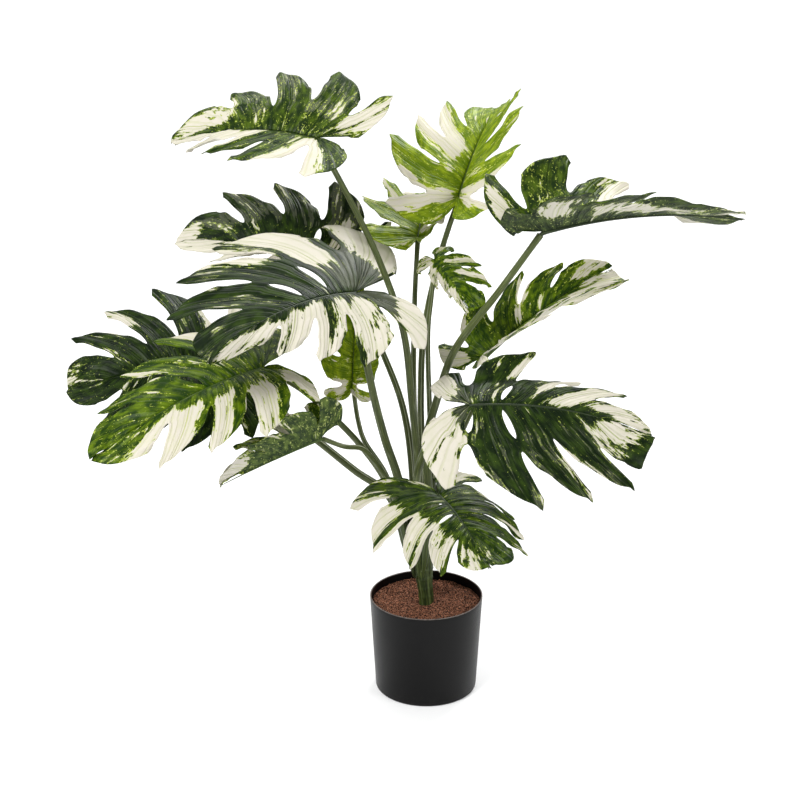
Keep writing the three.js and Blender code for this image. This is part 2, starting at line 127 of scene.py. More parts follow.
# %% [markdown]
# ## Small helpers for node trees
#
# Every finish below is a tree of shader nodes. What comes out of a node is kept as a value here, and a sum or
# a product of values puts a Math node in the tree, so that each finish reads like a short sum.


# %% Values of a node tree
class Value:
    """A number, colour or direction that comes out of a node. Arithmetic with it adds Math nodes."""

    def __init__(self, tree, socket):
        self.tree = tree
        self.socket = socket

    def math(self, operation, *others):
        given = dict(enumerate((self, *others)))
        return value_from(self.tree, "Math", given, 0, operation=operation)

    def __add__(self, other):
        return self.math("ADD", other)

    def __sub__(self, other):
        return self.math("SUBTRACT", other)

    def __rsub__(self, other):
        return value_from(self.tree, "Math", {0: other, 1: self}, 0, operation="SUBTRACT")

    def __mul__(self, other):
        return self.math("MULTIPLY", other)

    def __abs__(self):
        return self.math("ABSOLUTE")

    def ramp(self, low, high):
        """0 below low, 1 above high and a soft rise between them."""
        given = {"Value": self, "From Min": low, "From Max": high}
        return value_from(self.tree, "MapRange", given, "Result", interpolation_type="SMOOTHSTEP")

    def fall(self, low, high):
        """1 below low, 0 above high and a soft fall between them."""
        return 1.0 - self.ramp(low, high)

    def parts(self):
        """The three parts of a direction."""
        split = add_node(self.tree, "SeparateXYZ", {"Vector": self})
        return [Value(self.tree, socket) for socket in split.outputs]


def fill(inputs, given):
    """Joins a value to its input, and sets an input that gets a plain number or colour."""
    for name, value in given.items():
        if isinstance(value, Value):
            value.tree.links.new(value.socket, inputs[name])
        else:
            inputs[name].default_value = value


def add_node(tree, kind, given, **settings):
    """A new node. given is what its inputs get, and settings are its own properties."""
    made = tree.nodes.new("ShaderNode" + kind)
    for name, value in settings.items():
        setattr(made, name, value)
    fill(made.inputs, given)
    return made


def value_from(tree, kind, given, output, **settings):
    return Value(tree, add_node(tree, kind, given, **settings).outputs[output])


print("values can be added, subtracted and multiplied")


# %% Node helpers
def mix(share, first, second):
    given = {"Factor": share, "A": first, "B": second}
    return value_from(share.tree, "Mix", given, "Result", data_type="RGBA")


def noise_at(place, scale, detail=2.0, roughness=0.5, distortion=0.0):
    given = {"Vector": place, "Scale": scale, "Detail": detail, "Roughness": roughness}
    return value_from(place.tree, "TexNoise", {**given, "Distortion": distortion}, "Fac")


def vector(x, y, z):
    return value_from(x.tree, "CombineXYZ", {"X": x, "Y": y, "Z": z}, "Vector")


def bump(height, distance, strength):
    given = {"Height": height, "Distance": distance, "Strength": strength}
    return value_from(height.tree, "Bump", given, "Normal")


def attribute(tree, name, output="Fac"):
    return value_from(tree, "Attribute", {}, output, attribute_name=name)


def object_place(tree):
    return value_from(tree, "TexCoord", {}, "Object")


def new_group(name, wanted, given):
    """An empty node group. wanted and given are its inputs and outputs, as {name: (socket type, default)}."""
    tree = bpy.data.node_groups.new(name, "ShaderNodeTree")
    for title, (kind, value) in wanted.items():
        socket = tree.interface.new_socket(title, in_out="INPUT", socket_type="NodeSocket" + kind)
        if value is not None:
            socket.default_value = value
    for title, kind in given.items():
        tree.interface.new_socket(title, in_out="OUTPUT", socket_type="NodeSocket" + kind)
    entrance = tree.nodes.new("NodeGroupInput").outputs
    leaving = tree.nodes.new("NodeGroupOutput").inputs
    return tree, {title: Value(tree, entrance[title]) for title in wanted}, leaving


def group_values(tree, group, given):
    """The group placed in a tree with what its inputs get, and its outputs as values."""
    made = add_node(tree, "Group", given, node_tree=group)
    return {socket.name: Value(tree, socket) for socket in made.outputs}


def new_material(name, roughness, specular):
    material = bpy.data.materials.new(name)
    material.use_nodes = True
    shader = material.node_tree.nodes["Principled BSDF"]
    shader.inputs["Roughness"].default_value = roughness
    shader.inputs["Specular IOR Level"].default_value = specular
    return material, material.node_tree, shader.inputs


print("node helpers ready")

# %% [markdown]
# ## The leaf's tissue
#
# The leaves are marbled: white tissue and green tissue grew side by side, in streaks that run out along the
# side veins, with ragged borders, a lime seam between them and fine speckles of one in the other. Some of
# the green is painted grey. This is partly the grey-green tissue of the leaf and partly a painted sheen
# where the soft light glances off the lobes, and the mesh carries where it lies as the attribute grey. Three
# things decide what a spot is: a broad plan for each leaf, which the mesh carries as the attribute pale,
# long noise that follows the veins, and short noise for the ragged edge.
#
# The mesh has two UV maps. The map veins runs from vein to vein and out along them, and the map flat is the
# leaf pressed flat, in metres, so that speckles have a true size. The group gives only a colour, a gloss
# mask and a height, and each leaf's own material puts them on its shader.

# %% Marbling group
COLOUR = "Color"
NUMBER = "Float"
marbling, want, give = new_group(
    "leaf_marbling",
    {
        "Deep": (COLOUR, None), "Bright": (COLOUR, None), "Seam": (COLOUR, None), "Cream": (COLOUR, None),
        "GreyAndSheen": (COLOUR, None), "Speckles": (NUMBER, 0.5), "Streaks": (NUMBER, 0.5), "Seed": (NUMBER, 0.0),
    },
    {"Color": COLOUR, "Cream": NUMBER, "Height": NUMBER},
)


STREAK_GRAIN = (2.6, 1.5)
THREAD_GRAIN = (9.5, 2.8)
THREAD_WEIGHT = 1.6
RAGGED_WEIGHT = 0.26
BORDER = 0.5
VEIN_HALF = 0.0016
SMALL_VEINS = 6.0


def off_middle(value):
    """How far a value is from the middle between two whole numbers."""
    return abs(value.math("FRACT") - 0.5)


def marbling_recipe(tree, want, give):
    """Fills the marbling group: the plan and the noises first, then tissue by tissue, then the veins."""
    place, out, _ = value_from(tree, "UVMap", {}, "UV", uv_map="veins").parts()
    across, ahead, _ = value_from(tree, "UVMap", {}, "UV", uv_map="flat").parts()
    width, pale, grey = [attribute(tree, name) for name in ("width", "pale", "grey")]
    seed, deep, bright, lime = want["Seed"], want["Deep"], want["Bright"], want["Seam"]

    # Long noise: finer from vein to vein than it is along them.
    spread = place * STREAK_GRAIN[0]
    streaks = noise_at(vector(spread, out * STREAK_GRAIN[1], seed), 1.0, 3.0, 0.6)
    fine = vector(place * THREAD_GRAIN[0], out * THREAD_GRAIN[1], seed)
    threads = noise_at(fine, 1.0, 3.0, 0.65)
    real = vector(across, ahead, seed * 0.1)
    ragged = noise_at(real, 150.0, 3.0, 0.6)

    # The tissue value: under BORDER is green and over it is cream.
    streak_part = (streaks - 0.5) * want["Streaks"]
    thread_part = (threads - 0.5) * THREAD_WEIGHT
    tissue = pale + streak_part + (thread_part + (ragged - 0.5) * RAGGED_WEIGHT)
    cream = tissue.ramp(BORDER, BORDER + 0.025)
    seam = tissue.ramp(BORDER - 0.08, BORDER - 0.01) * 0.75

    # The green itself: deep and bright parts in cloudy drifts that follow the veins.
    drift = noise_at(vector(spread, out * 3.0, seed), 2.0, 4.0)
    green = mix(drift.ramp(0.38, 0.68), deep, bright)

    # Grey over the green, with its own ragged border: partly grey-green tissue, partly a painted sheen.
    skin = (grey + (thread_part + streak_part)).ramp(0.48, 0.6)
    green = mix(skin * 0.85, green, want["GreyAndSheen"])
    green = mix(seam, green, lime)

    # Speckles: cream ones in the green, thicker towards the cream, and green islands in the cream.
    limit = 0.74 - (tissue.ramp(0.05, BORDER) * 0.13 + want["Speckles"] * 0.13)
    dotted = noise_at(real, 330.0, 2.0, 0.7).ramp(limit, limit + 0.05)
    green = mix(dotted * 0.8, green, lime)
    cream_limit = tissue.ramp(BORDER, 0.8) * 0.22 + 0.58
    islands = noise_at(fine, 2.6, 3.0, 0.7, 0.3).ramp(cream_limit, cream_limit + 0.03)
    white = mix(drift.ramp(0.3, 0.8) * 0.16, want["Cream"], lime)
    colour = mix(cream, green, mix(islands * 0.85, white, bright))

    # Veins: one down the middle of each lobe, thinner towards the edge, and fainter ones beside it. On the
    # cream they take the green of the vein. On the green they take the deep green, a painted shade in the
    # sunk crease. A painted shade also darkens the blade along the groove of the midrib.
    vein = (off_middle(place) * width).fall(0.0001, out * (-VEIN_HALF / 2) + VEIN_HALF)
    small = off_middle(place * SMALL_VEINS).fall(0.01, 0.2)
    vein_tint_and_crease_shade = mix(cream, deep, lime)
    colour = mix(vein * 0.65, colour, vein_tint_and_crease_shade)
    colour = mix(small * 0.2, colour, vein_tint_and_crease_shade)
    colour = mix(out.fall(0.008, 0.03) * 0.6, colour, deep)

    # Height: veins sink in, the tissue between the small ones swells a little, and cells give a fine grain.
    height = vein * -0.6 + small * -0.5 + noise_at(real, 900.0, 2.0) * 0.12
    fill(give, {"Color": colour, "Cream": cream, "Height": height})


marbling_recipe(marbling, want, give)
print("marbling group:", len(marbling.nodes), "nodes")

# %% [markdown]
# ## Four ages of leaf
#
# Old leaves are a deep green, mature ones a little lighter, grown ones a fresh green, and the youngest a
# bright yellow-green. The cream is the same on all of them. The underside of a leaf is duller and paler than
# its face, so every leaf has two finishes that share one recipe.

# %% Leaf colours
CREAM = (0.62, 0.58, 0.50)
# The fourth colour of each age is the grey laid over parts of the green: grey-green tissue and, in part, a
# painted sheen.
TISSUES = ("Deep", "Bright", "Seam", "GreyAndSheen")
GREENS = {
    "old": ((0.003, 0.010, 0.001), (0.024, 0.047, 0.004), (0.30, 0.37, 0.07), (0.070, 0.080, 0.048)),
    "mature": ((0.007, 0.021, 0.001), (0.062, 0.105, 0.005), (0.40, 0.48, 0.08), (0.10, 0.115, 0.070)),
    "grown": ((0.013, 0.038, 0.001), (0.104, 0.168, 0.003), (0.46, 0.54, 0.08), (0.11, 0.14, 0.075)),
    "young": ((0.105, 0.175, 0.004), (0.27, 0.36, 0.010), (0.62, 0.67, 0.14), (0.22, 0.27, 0.10)),
}


def duller(colour):
    """The same tissue seen from below: paler, greyer and less green."""
    grey = 0.3 * colour[0] + 0.6 * colour[1] + 0.1 * colour[2]
    return [0.8 * c + 0.2 * grey + 0.012 for c in colour]


def leaf_finish(leaf, kind):
    """A leaf's finish for its face or its underside."""
    underside = kind == "underside"
    dull = 0.52 if underside else 0.38
    material, tree, shader = new_material(f"{kind}_{leaf['name']}", dull, 0.1)
    colours = {"Cream": CREAM, **dict(zip(TISSUES, GREENS[leaf["age"]]))}
    given = {k: (*(duller(c) if underside else c), 1) for k, c in colours.items()}
    given.update({"Speckles": leaf["speckles"], "Streaks": leaf["streaks"], "Seed": float(leaf["seed"])})
    made = group_values(tree, marbling, given)
    lift = made["Height"] * (-1.0 if underside else 1.0)
    fill(shader, {"Base Color": made["Color"], "Roughness": made["Cream"] * 0.08 + dull,
                  "Normal": bump(lift, 0.0013, 0.9)})
    return material


print("leaf ages:", list(GREENS))

# %% [markdown]
# ## The shape of a leaf
#
# A Monstera leaf is a heart whose halves are cut into lobes between the side veins. The whole leaf follows
# one rule, the same as in the solids: a place round the half leaf, from 0 at the notch behind the stalk to
# 1 at the tip, says which way a side vein goes and how long it is, and the slits open beside it. The flat
# leaf is then bent along an arched midrib, its halves are folded like pages, and each lobe strays a little
# by a seeded draw. The scene adds one thing to the rule: each lobe's corner is drawn out into the small
# point that sheds rain.

# %% Numbers of the leaf rule
VEIN_ANGLE = [(0, 166), (0.12, 142), (0.3, 104), (0.5, 80), (0.7, 62), (0.86, 42), (1, 0)]
VEIN_LENGTH = [(0, 0.34), (0.1, 0.46), (0.25, 0.54), (0.42, 0.56), (0.6, 0.5), (0.76, 0.42), (0.9, 0.3),
               (1, 0.22)]
VEIN_SWEEP = [(0, 10), (0.2, 24), (0.5, 34), (0.8, 26), (1, 0)]
NOTCH_SHARE = 0.2
LAST_VEIN = 0.78
DEEP_SLIT = 0.34
SHORT_SLIT = 0.46
LOBE_POINT = 0.9
SHOULDER_LOSS = 0.25
CORNER_LOSS = 0.06
SLIT_SHARE = 0.095
DRIP_TIP = 0.06
CORNER_REACH = 0.17
VEIN_END = 0.64
HOLE_ROW = 0.2
HOLE_HALF = 0.13
RAGGED = 9
BLADE_THICKNESS = 0.9

# %% [markdown]
# Each leaf is one entry. Lengths are in mm and angles in degrees, in the frame of the solids. base is where
# the stalk meets the blade and tip is the end of the midrib. roll turns the blade about that line, bend
# arches the midrib, fold lifts the halves and arch curls them down. fold and reach hold the left half's
# value at the notch and at the tip, then the right half's. via are points that the stalk passes, thick
# scales it, free is the height at which it leaves the crown, and drop is how far under the notch it ends.
#
# cream and grey plan the marbling: (half, first lobe, last lobe, from, to, amount), where half is -1 for
# the left, lobes count from the notch, and from and to run from 0 at the midrib to 1 at the edge. The grey
# plan paints grey-green tissue and, in part, a painted sheen on the green.

# %% The leaves
PLAIN = {
    "roll": 0, "arch": (20, 20), "rake": (0, 0), "lobes": 5, "thick": 0.9, "free": 262, "drop": 4.6,
    "open": 1, "deep": 0.5, "holes": (), "raised": {}, "age": "old", "speckles": 0.5, "streaks": 1.7,
    "base_pale": 0.17, "grey": (),
}


def leaf(name, base, tip, **own):
    """A leaf's entry. What it doesn't give itself is as in PLAIN."""
    return {**PLAIN, "name": name, "base": base, "tip": tip, **own}


LEAVES = [
    leaf("top_left", (-136, -40, 762), (-318, 40, 734), roll=-5, bend=35, fold=(5, -5, 42, 36),
         arch=(20, 25), reach=(0.95, 0.85, 1, 1), rake=(15, -15), seed=1, thick=0.95, age="mature",
         speckles=0.7,
         via=[(-12, -8, 316), (-20, -15, 415), (-31, -20, 511), (-62, -28, 608), (-96, -35, 684)],
         cream=[(-1, 0.7, 1.3, 0.15, 1, 0.9), (-1, 2.9, 5, 0.12, 1, 0.85), (1, 0.15, 0.95, 0.3, 1, 0.75),
                (1, 3.9, 5, 0.25, 0.9, 0.6)],
         grey=[(1, 1, 4.5, 0.25, 1, 0.5)]),
    leaf("top_middle", (40, 80, 658), (95, 222, 744), bend=30, fold=(60, 12, 50, 45), arch=(25, 25),
         reach=(1.1, 1.15, 0.9, 1.25), seed=2, age="young", speckles=0.6,
         via=[(-6, 14, 309), (-8, 24, 408), (-4, 38, 492), (14, 55, 577), (27, 64, 620)],
         cream=[(-1, 0.55, 1.2, 0.1, 1, 0.9), (-1, 2.45, 3.6, 0.2, 1, 0.95),
                (1, 0.75, 1.35, 0.1, 1, 0.85)]),
    leaf("top_right", (140, -30, 643), (394, 0, 649), bend=25, fold=(85, -45, 65, 8), arch=(15, 15),
         reach=(0.7, 0.95, 0.6, 0.9), seed=3, thick=1.1, age="mature", speckles=0.7,
         via=[(2, -10, 289), (-1, -5, 356), (12, 2, 408), (34, -10, 481), (89, -33, 568)],
         cream=[(-1, 0.2, 0.75, 0.35, 0.9, 0.95), (-1, 2.5, 3.1, 0.25, 1, 0.85),
                (-1, 3.6, 4.2, 0.2, 1, 0.8), (1, 1.2, 1.8, 0.3, 0.8, 0.6), (1, 2.3, 4.4, 0.2, 0.62, 0.5),
                (1, 4.5, 5, 0.5, 1, 0.6)],
         grey=[(1, 1, 4, 0.2, 0.7, 0.4)]),
    leaf("back_middle", (-12, 90, 601), (5, 230, 625), bend=25, fold=(45, 15, 50, 50), arch=(25, 25),
         reach=(1, 1.3, 0.5, 0.9), lobes=4, seed=4, thick=0.8, age="young",
         via=[(-12, 24, 306), (-17, 36, 405), (-16, 60, 525)],
         cream=[(-1, 2.2, 2.6, 0, 1, 0.8), (-1, 3, 3.4, 0, 1, 0.8), (1, 2.2, 2.8, 0.1, 1, 0.7),
                (1, 0.8, 1.2, 0.2, 1, 0.6)]),
    leaf("upper_left", (-120, 95, 566), (-330, 115, 585), roll=-5, bend=30, fold=(20, -15, 62, 36),
         reach=(0.28, 1.05, 0.75, 1.12), rake=(0, -10), seed=5, holes=((1, 2),), drop=3.2, streaks=2.2,
         via=[(-22, 20, 335), (-34, 42, 394), (-59, 62, 456), (-87, 80, 519)],
         cream=[(-1, 0, 5, 0.05, 1, 0.68), (1, 0, 0.9, 0.25, 1, 0.95), (1, 1.3, 1.6, 0.1, 0.6, 0.5),
                (1, 4.4, 5, 0.5, 1, 0.6)],
         grey=[(1, 1, 4.6, 0.3, 1, 0.6)]),
    leaf("middle_left", (-90, -60, 574), (-258, -215, 538), bend=40, fold=(-5, -60, 40, 0), arch=(40, 20),
         reach=(1, 0.5, 1.65, 1.25), seed=6, holes=((1, 2), (1, 3)), thick=1.1, speckles=0.15,
         streaks=1.4,
         via=[(-36, -6, 296), (-54, -24, 364), (-67, -40, 424), (-79, -54, 496)],
         cream=[(-1, 0, 0.9, 0.55, 1, 0.9), (-1, 1, 1.9, 0.15, 1, 0.66), (-1, 1.9, 2.5, 0.1, 1, 0.5),
                (-1, 2.5, 3.6, 0.1, 1, 0.85), (-1, 3.7, 5, 0.2, 1, 0.6), (1, 0.05, 0.85, 0.45, 1, 0.95),
                (1, 1.1, 1.75, 0.3, 1, 0.85), (1, 1.9, 2.3, 0.5, 1, 0.7)],
         grey=[(1, 0, 1.6, 0, 0.6, 0.7), (1, 1.6, 5, 0.1, 1, 0.36), (-1, 0, 1, 0, 0.75, 0.9),
               (-1, 1, 5, 0, 1, 0.5)]),
    leaf("low_left_front", (-205, -90, 486), (-403, -190, 402), roll=-25, bend=40, fold=(10, 5, -10, 10),
         arch=(30, 25), reach=(0.6, 1, 1, 1), rake=(0, 12), seed=7, holes=((1, 3),), free=290,
         age="grown", speckles=0.55,
         via=[(-52, -10, 297), (-86, -12, 352), (-125, -15, 397), (-162, -48, 444)],
         cream=[(-1, 0.35, 0.95, 0.35, 1, 0.8), (-1, 1.3, 2, 0.3, 1, 0.75), (-1, 2.35, 2.9, 0.25, 1, 0.8),
                (-1, 3.2, 4.3, 0.2, 1, 0.9), (1, 1, 1.5, 0.55, 1, 0.85), (1, 2.9, 3.2, 0.4, 0.9, 0.4)]),
    leaf("low_left_back", (-284, 20, 443), (-460, -20, 428), roll=-30, bend=40, fold=(0, 0, 20, 20),
         arch=(25, 25), reach=(1.1, 1.2, 1.3, 1.3), seed=8, thick=1, free=292, speckles=0.4, streaks=1.3,
         via=[(-48, 3, 272), (-94, 6, 309), (-143, 14, 348), (-215, 38, 398)],
         cream=[(1, 2.6, 3.1, 0.6, 1, 0.55), (-1, 2.2, 2.7, 0.5, 1, 0.5), (1, 4.3, 4.7, 0.4, 1, 0.45),
                (1, 0.7, 1.2, 0.4, 1, 0.7)]),
    leaf("inner_left", (-97, 30, 418), (-86, 68, 568), bend=20, fold=(30, 15, 40, 25),
         reach=(0.35, 0.85, 0.35, 0.75), lobes=4, seed=9, thick=0.75, age="young", speckles=0.45,
         streaks=2.2, base_pale=0.14,
         via=[(-52, 14, 296), (-82, 20, 346), (-90, 24, 374)],
         cream=[(-1, 0.2, 1.1, 0.2, 1, 0.35), (1, 0, 0.8, 0.2, 1, 0.7)]),
    leaf("bottom_left", (-134, -70, 386), (-258, -130, 346), bend=5, fold=(75, 65, 30, 20),
         reach=(0.8, 0.8, 0.6, 1.05), lobes=4, seed=10, open=0.5, thick=0.8, drop=3.2, age="grown",
         speckles=0.75, streaks=1.3,
         via=[(-46, -27, 297), (-68, -38, 341), (-84, -48, 362), (-105, -59, 369)],
         cream=[(-1, 3.2, 4, 0.5, 1, 0.85), (1, 1, 2, 0.3, 1, 0.8), (1, 3, 4, 0.5, 1, 0.9),
                (-1, 1.9, 2.3, 0.6, 1, 0.4)]),
    leaf("inner_right", (9, 25, 590), (53, -25, 536), roll=20, bend=30, fold=(-10, 12, -50, -60),
         arch=(30, 30), reach=(0.6, 1.6, 0.6, 0.7), lobes=4, seed=11, thick=0.75, free=300, age="grown",
         speckles=0.35, streaks=1.3,
         via=[(8, 6, 300), (3, 18, 400), (1, 18, 500), (6, 28, 550)],
         cream=[(-1, 1.3, 1.6, 0.2, 1, 0.85), (-1, 2.2, 2.5, 0.25, 1, 0.8), (-1, 0.3, 0.7, 0.4, 1, 0.5),
                (1, 0, 4, 0.2, 1, 0.5)]),
    leaf("middle_right", (74, 40, 454), (244, 120, 550), bend=20, fold=(30, 40, 48, -10),
         reach=(0.6, 0.95, 0.28, 1.7), rake=(10, 25), seed=12, deep=1, thick=0.85, free=300, age="grown",
         speckles=0.45,
         via=[(20, 12, 300), (50, 24, 367), (72, 35, 417)],
         cream=[(-1, 0.15, 0.8, 0.35, 1, 0.9), (-1, 1, 1.3, 0.5, 1, 0.5), (-1, 2.85, 3.15, 0.1, 0.9, 0.5),
                (-1, 4.3, 4.8, 0.4, 1, 0.6), (1, 0.6, 5, 0.18, 1, 0.6)]),
    leaf("low_right", (52, -97, 440), (279, -70, 387), roll=25, bend=40, fold=(-20, 22, 0, -45),
         arch=(25, 25), reach=(0.66, 1, 0.8, 1.6), rake=(20, 15), seed=13,
         holes=((1, 1), (1, 2), (-1, 2)), raised={(-1, 1): 18}, thick=1.1, speckles=0.4,
         via=[(-14, -30, 303), (-3, -55, 363), (21, -78, 406)],
         cream=[(-1, 0, 0.8, 0.45, 1, 0.8), (-1, 1.8, 2.2, 0.5, 1, 0.6), (-1, 2.5, 3, 0.3, 1, 0.9),
                (-1, 3.3, 4, 0.08, 0.95, 0.8), (-1, 4.2, 5, 0.3, 1, 0.7), (1, 0, 0.95, 0.3, 1, 0.78),
                (1, 2.9, 3.2, 0.5, 1, 0.5), (1, 4.2, 5, 0.1, 0.7, 0.55)],
         grey=[(1, 1, 4.5, 0.15, 1, 0.42), (-1, 0, 1, 0, 0.8, 0.7), (1, 0, 1, 0, 0.7, 0.7)]),
    leaf("front_low", (16, -80, 311), (75, -195, 261), bend=30, fold=(5, 5, 5, 5), arch=(30, 30),
         reach=(1.2, 1.5, 1.6, 1.4), seed=14, open=0.8, holes=((1, 2), (1, 3)), drop=3.6, age="mature",
         speckles=0.35,
         via=[(2, -36, 246)],
         cream=[(1, 0.85, 1.5, 0.55, 1, 0.9), (1, 1.8, 2.6, 0.4, 1, 0.8), (1, 2.7, 3.9, 0.35, 1, 0.62),
                (1, 4, 4.6, 0.4, 1, 0.4), (-1, 0.3, 0.8, 0.3, 1, 0.7), (-1, 2.5, 2.9, 0.6, 1, 0.6),
                (-1, 1.2, 1.5, 0.3, 0.8, 0.45)]),
]
print(len(LEAVES), "leaves with", sum(2 * leaf["lobes"] for leaf in LEAVES), "lobes")


# %% The flat half leaf
def draw(seed, index):
    """A number from 0 to 1 that is always the same for the same seed and index."""
    wave = math.sin(seed * 78.233 + index * 12.9898) * 43758.5453
    return wave - math.floor(wave)


def clamped(x, low=0.0, high=1.0):
    return min(max(x, low), high)


def smooth_step(x):
    t = clamped(x)
    return t * t * (3 - 2 * t)


def smooth_along(pairs, at):
    """A smooth line through pairs of (place, value)."""
    k = 0
    while k < len(pairs) - 2 and at > pairs[k + 1][0]:
        k += 1

    def slope(i):
        before, after = pairs[max(i - 1, 0)], pairs[min(i + 1, len(pairs) - 1)]
        return (after[1] - before[1]) / (after[0] - before[0])

    span = pairs[k + 1][0] - pairs[k][0]
    t = (at - pairs[k][0]) / span
    rise = t * t * (3 - 2 * t)
    bow = span * t * (1 - t) * (slope(k) * (1 - t) - slope(k + 1) * t)
    return pairs[k][1] * (1 - rise) + pairs[k + 1][1] * rise + bow


def slit_start(leaf, side, boundary):
    """How far out the slit between two lobes begins. A boundary with a hole has the short slit."""
    deep = draw(leaf["seed"], side * 10 + boundary) < leaf["deep"]
    return DEEP_SLIT if deep and (side, boundary) not in leaf["holes"] else SHORT_SLIT


def opening_at(leaf, side, boundary, t):
    """Half the width of the slit or hole at a boundary, as a share of a lobe's width."""
    if boundary in (0, leaf["lobes"]):
        return 0
    start = slit_start(leaf, side, boundary)
    if t > start:
        depth = (t - start) / (1 - start)
        mouth = math.sqrt(1 - (1 - min(depth / 0.4, 1)) ** 2)
        return SLIT_SHARE * leaf["open"] * mouth * (1 + 0.5 * smooth_step((depth - 0.4) / 0.6))
    if (side, boundary) in leaf["holes"] and abs(t - HOLE_ROW) < HOLE_HALF:
        return SLIT_SHARE * math.sqrt(1 - ((t - HOLE_ROW) / HOLE_HALF) ** 2)
    return 0


def place_of(leaf, lobe):
    share = lobe / leaf["lobes"]
    return share + 0.03 * math.sin(FULL_TURN * share)


def half_mix(values, side, place):
    """A half's value part of the way from the notch to the tip."""
    first = 0 if side < 0 else 2
    return values[first] + (values[first + 1] - values[first]) * place


def flat_point(leaf, side, lobe, f, t):
    """Place, distances across and ahead in leaf lengths, and how free the lobe is, at (f, t)."""
    start, end = place_of(leaf, lobe), place_of(leaf, lobe + 1)
    low = start + opening_at(leaf, side, lobe, t) * (end - start)
    high = end - opening_at(leaf, side, lobe + 1, t) * (end - start)
    place = low + (high - low) * f
    root = LAST_VEIN * max(0, (place - NOTCH_SHARE) / (1 - NOTCH_SHARE)) ** 1.25
    last = lobe == leaf["lobes"] - 1
    next_slit = SHORT_SLIT if last else slit_start(leaf, side, lobe + 1)
    free = slit_start(leaf, side, lobe) * (1 - f) + next_slit * f
    loose = smooth_step((t - free) / (1 - free))
    shoulder = max(0, 1 - f / LOBE_POINT) ** 1.7
    corner = 0 if last else max(0, (f - LOBE_POINT) / (1 - LOBE_POINT)) ** 1.3
    drip = DRIP_TIP * max(0, 1 - abs(f - LOBE_POINT) / CORNER_REACH) ** 2 * smooth_step((t - 0.5) / 0.5)
    kept = 1 - loose * (SHOULDER_LOSS * shoulder + CORNER_LOSS * corner - (0 if last else drip))
    rake = leaf["rake"][side > 0] * smooth_step(place / 0.3) * smooth_step((1 - place) / 0.3)
    angle = math.radians(smooth_along(VEIN_ANGLE, place) - rake)
    turned = angle - math.radians(smooth_along(VEIN_SWEEP, place))
    near_tip = smooth_step((place - 0.85) / 0.15)
    scale = half_mix(leaf["reach"], side, place) * (1 - near_tip) + near_tip
    length = smooth_along(VEIN_LENGTH, place) * kept * scale
    early, late = length * (t - t * t / 2), length * (t * t / 2)
    return (place, math.sin(angle) * early + math.sin(turned) * late,
            root + math.cos(angle) * early + math.cos(turned) * late, loose)


print("flat leaf: the widest vein is", max(v for _, v in VEIN_LENGTH), "of the leaf's length")


# %% The leaf in space
class LeafFrame:
    """A leaf's own directions: forward along the line from base to tip, up out of its face, and right."""

    def __init__(self, leaf):
        self.base = Vector(leaf["base"])
        chord = Vector(leaf["tip"]) - self.base
        self.forward = chord.normalized()
        sideways = self.forward.cross(Vector((0, 0, 1))).normalized()
        self.up = Matrix.Rotation(math.radians(leaf["roll"]), 3, self.forward) @ sideways.cross(self.forward)
        self.right = self.forward.cross(self.up)
        self.bend = math.radians(leaf["bend"])
        self.length = chord.length * (self.bend / 2) / math.sin(self.bend / 2)

    def midrib(self, share):
        """A point of the arched midrib and the leaf's face direction there."""
        ahead = share * self.length
        turn = self.bend / 2 - self.bend * clamped(share)
        radius = self.length / self.bend
        behind = min(ahead, 0)
        run = radius * (math.sin(self.bend / 2) - math.sin(turn)) + behind * math.cos(self.bend / 2)
        rise = radius * (math.cos(turn) - math.cos(self.bend / 2)) + behind * math.sin(self.bend / 2)
        face = self.up * math.cos(turn) - self.forward * math.sin(turn)
        return self.base + self.forward * run + self.up * rise, face


# %% [markdown]
# The solids have a plain surface. The real one is quilted: the side veins are sunk and the tissue swells
# between them, the free edges of the lobes are wavy, and the blade dips to the midrib. All of that is added
# here as a small lift along the surface's own direction, so the outline stays the same.

# %% Quilting and the point in space
SWELL = 2.6
PLEAT = 0.6
RUFFLE = 2.4
RUFFLE_PHASE = 6.28
GROOVE = 1.3


def relief(leaf, side, lobe, c, t, loose):
    """The lift in mm at a share c from one edge of the lobe to the other, with its vein at 0.5."""
    d = abs(c - 0.5) * 2
    joined_swell = (1 - math.cos(math.pi * d)) / 2
    free_swell = math.sin(math.pi * d) * 0.9
    swell = SWELL * (joined_swell * (1 - loose) + free_swell * loose) * smooth_step(t / 0.2)
    swell += PLEAT * math.cos(4 * math.pi * d) * smooth_step(t / 0.15) * (1 - 0.5 * t)
    phase = RUFFLE_PHASE * draw(leaf["seed"], 130 + side * 20 + lobe * 2 + (c > 0.5))
    wave = math.sin(9.5 * t + phase) + 0.5 * math.sin(17 * t + 2 * phase)
    ruffle = RUFFLE * loose * d ** 3 * wave
    return swell + ruffle - GROOVE * (1 - smooth_step(t / 0.05))


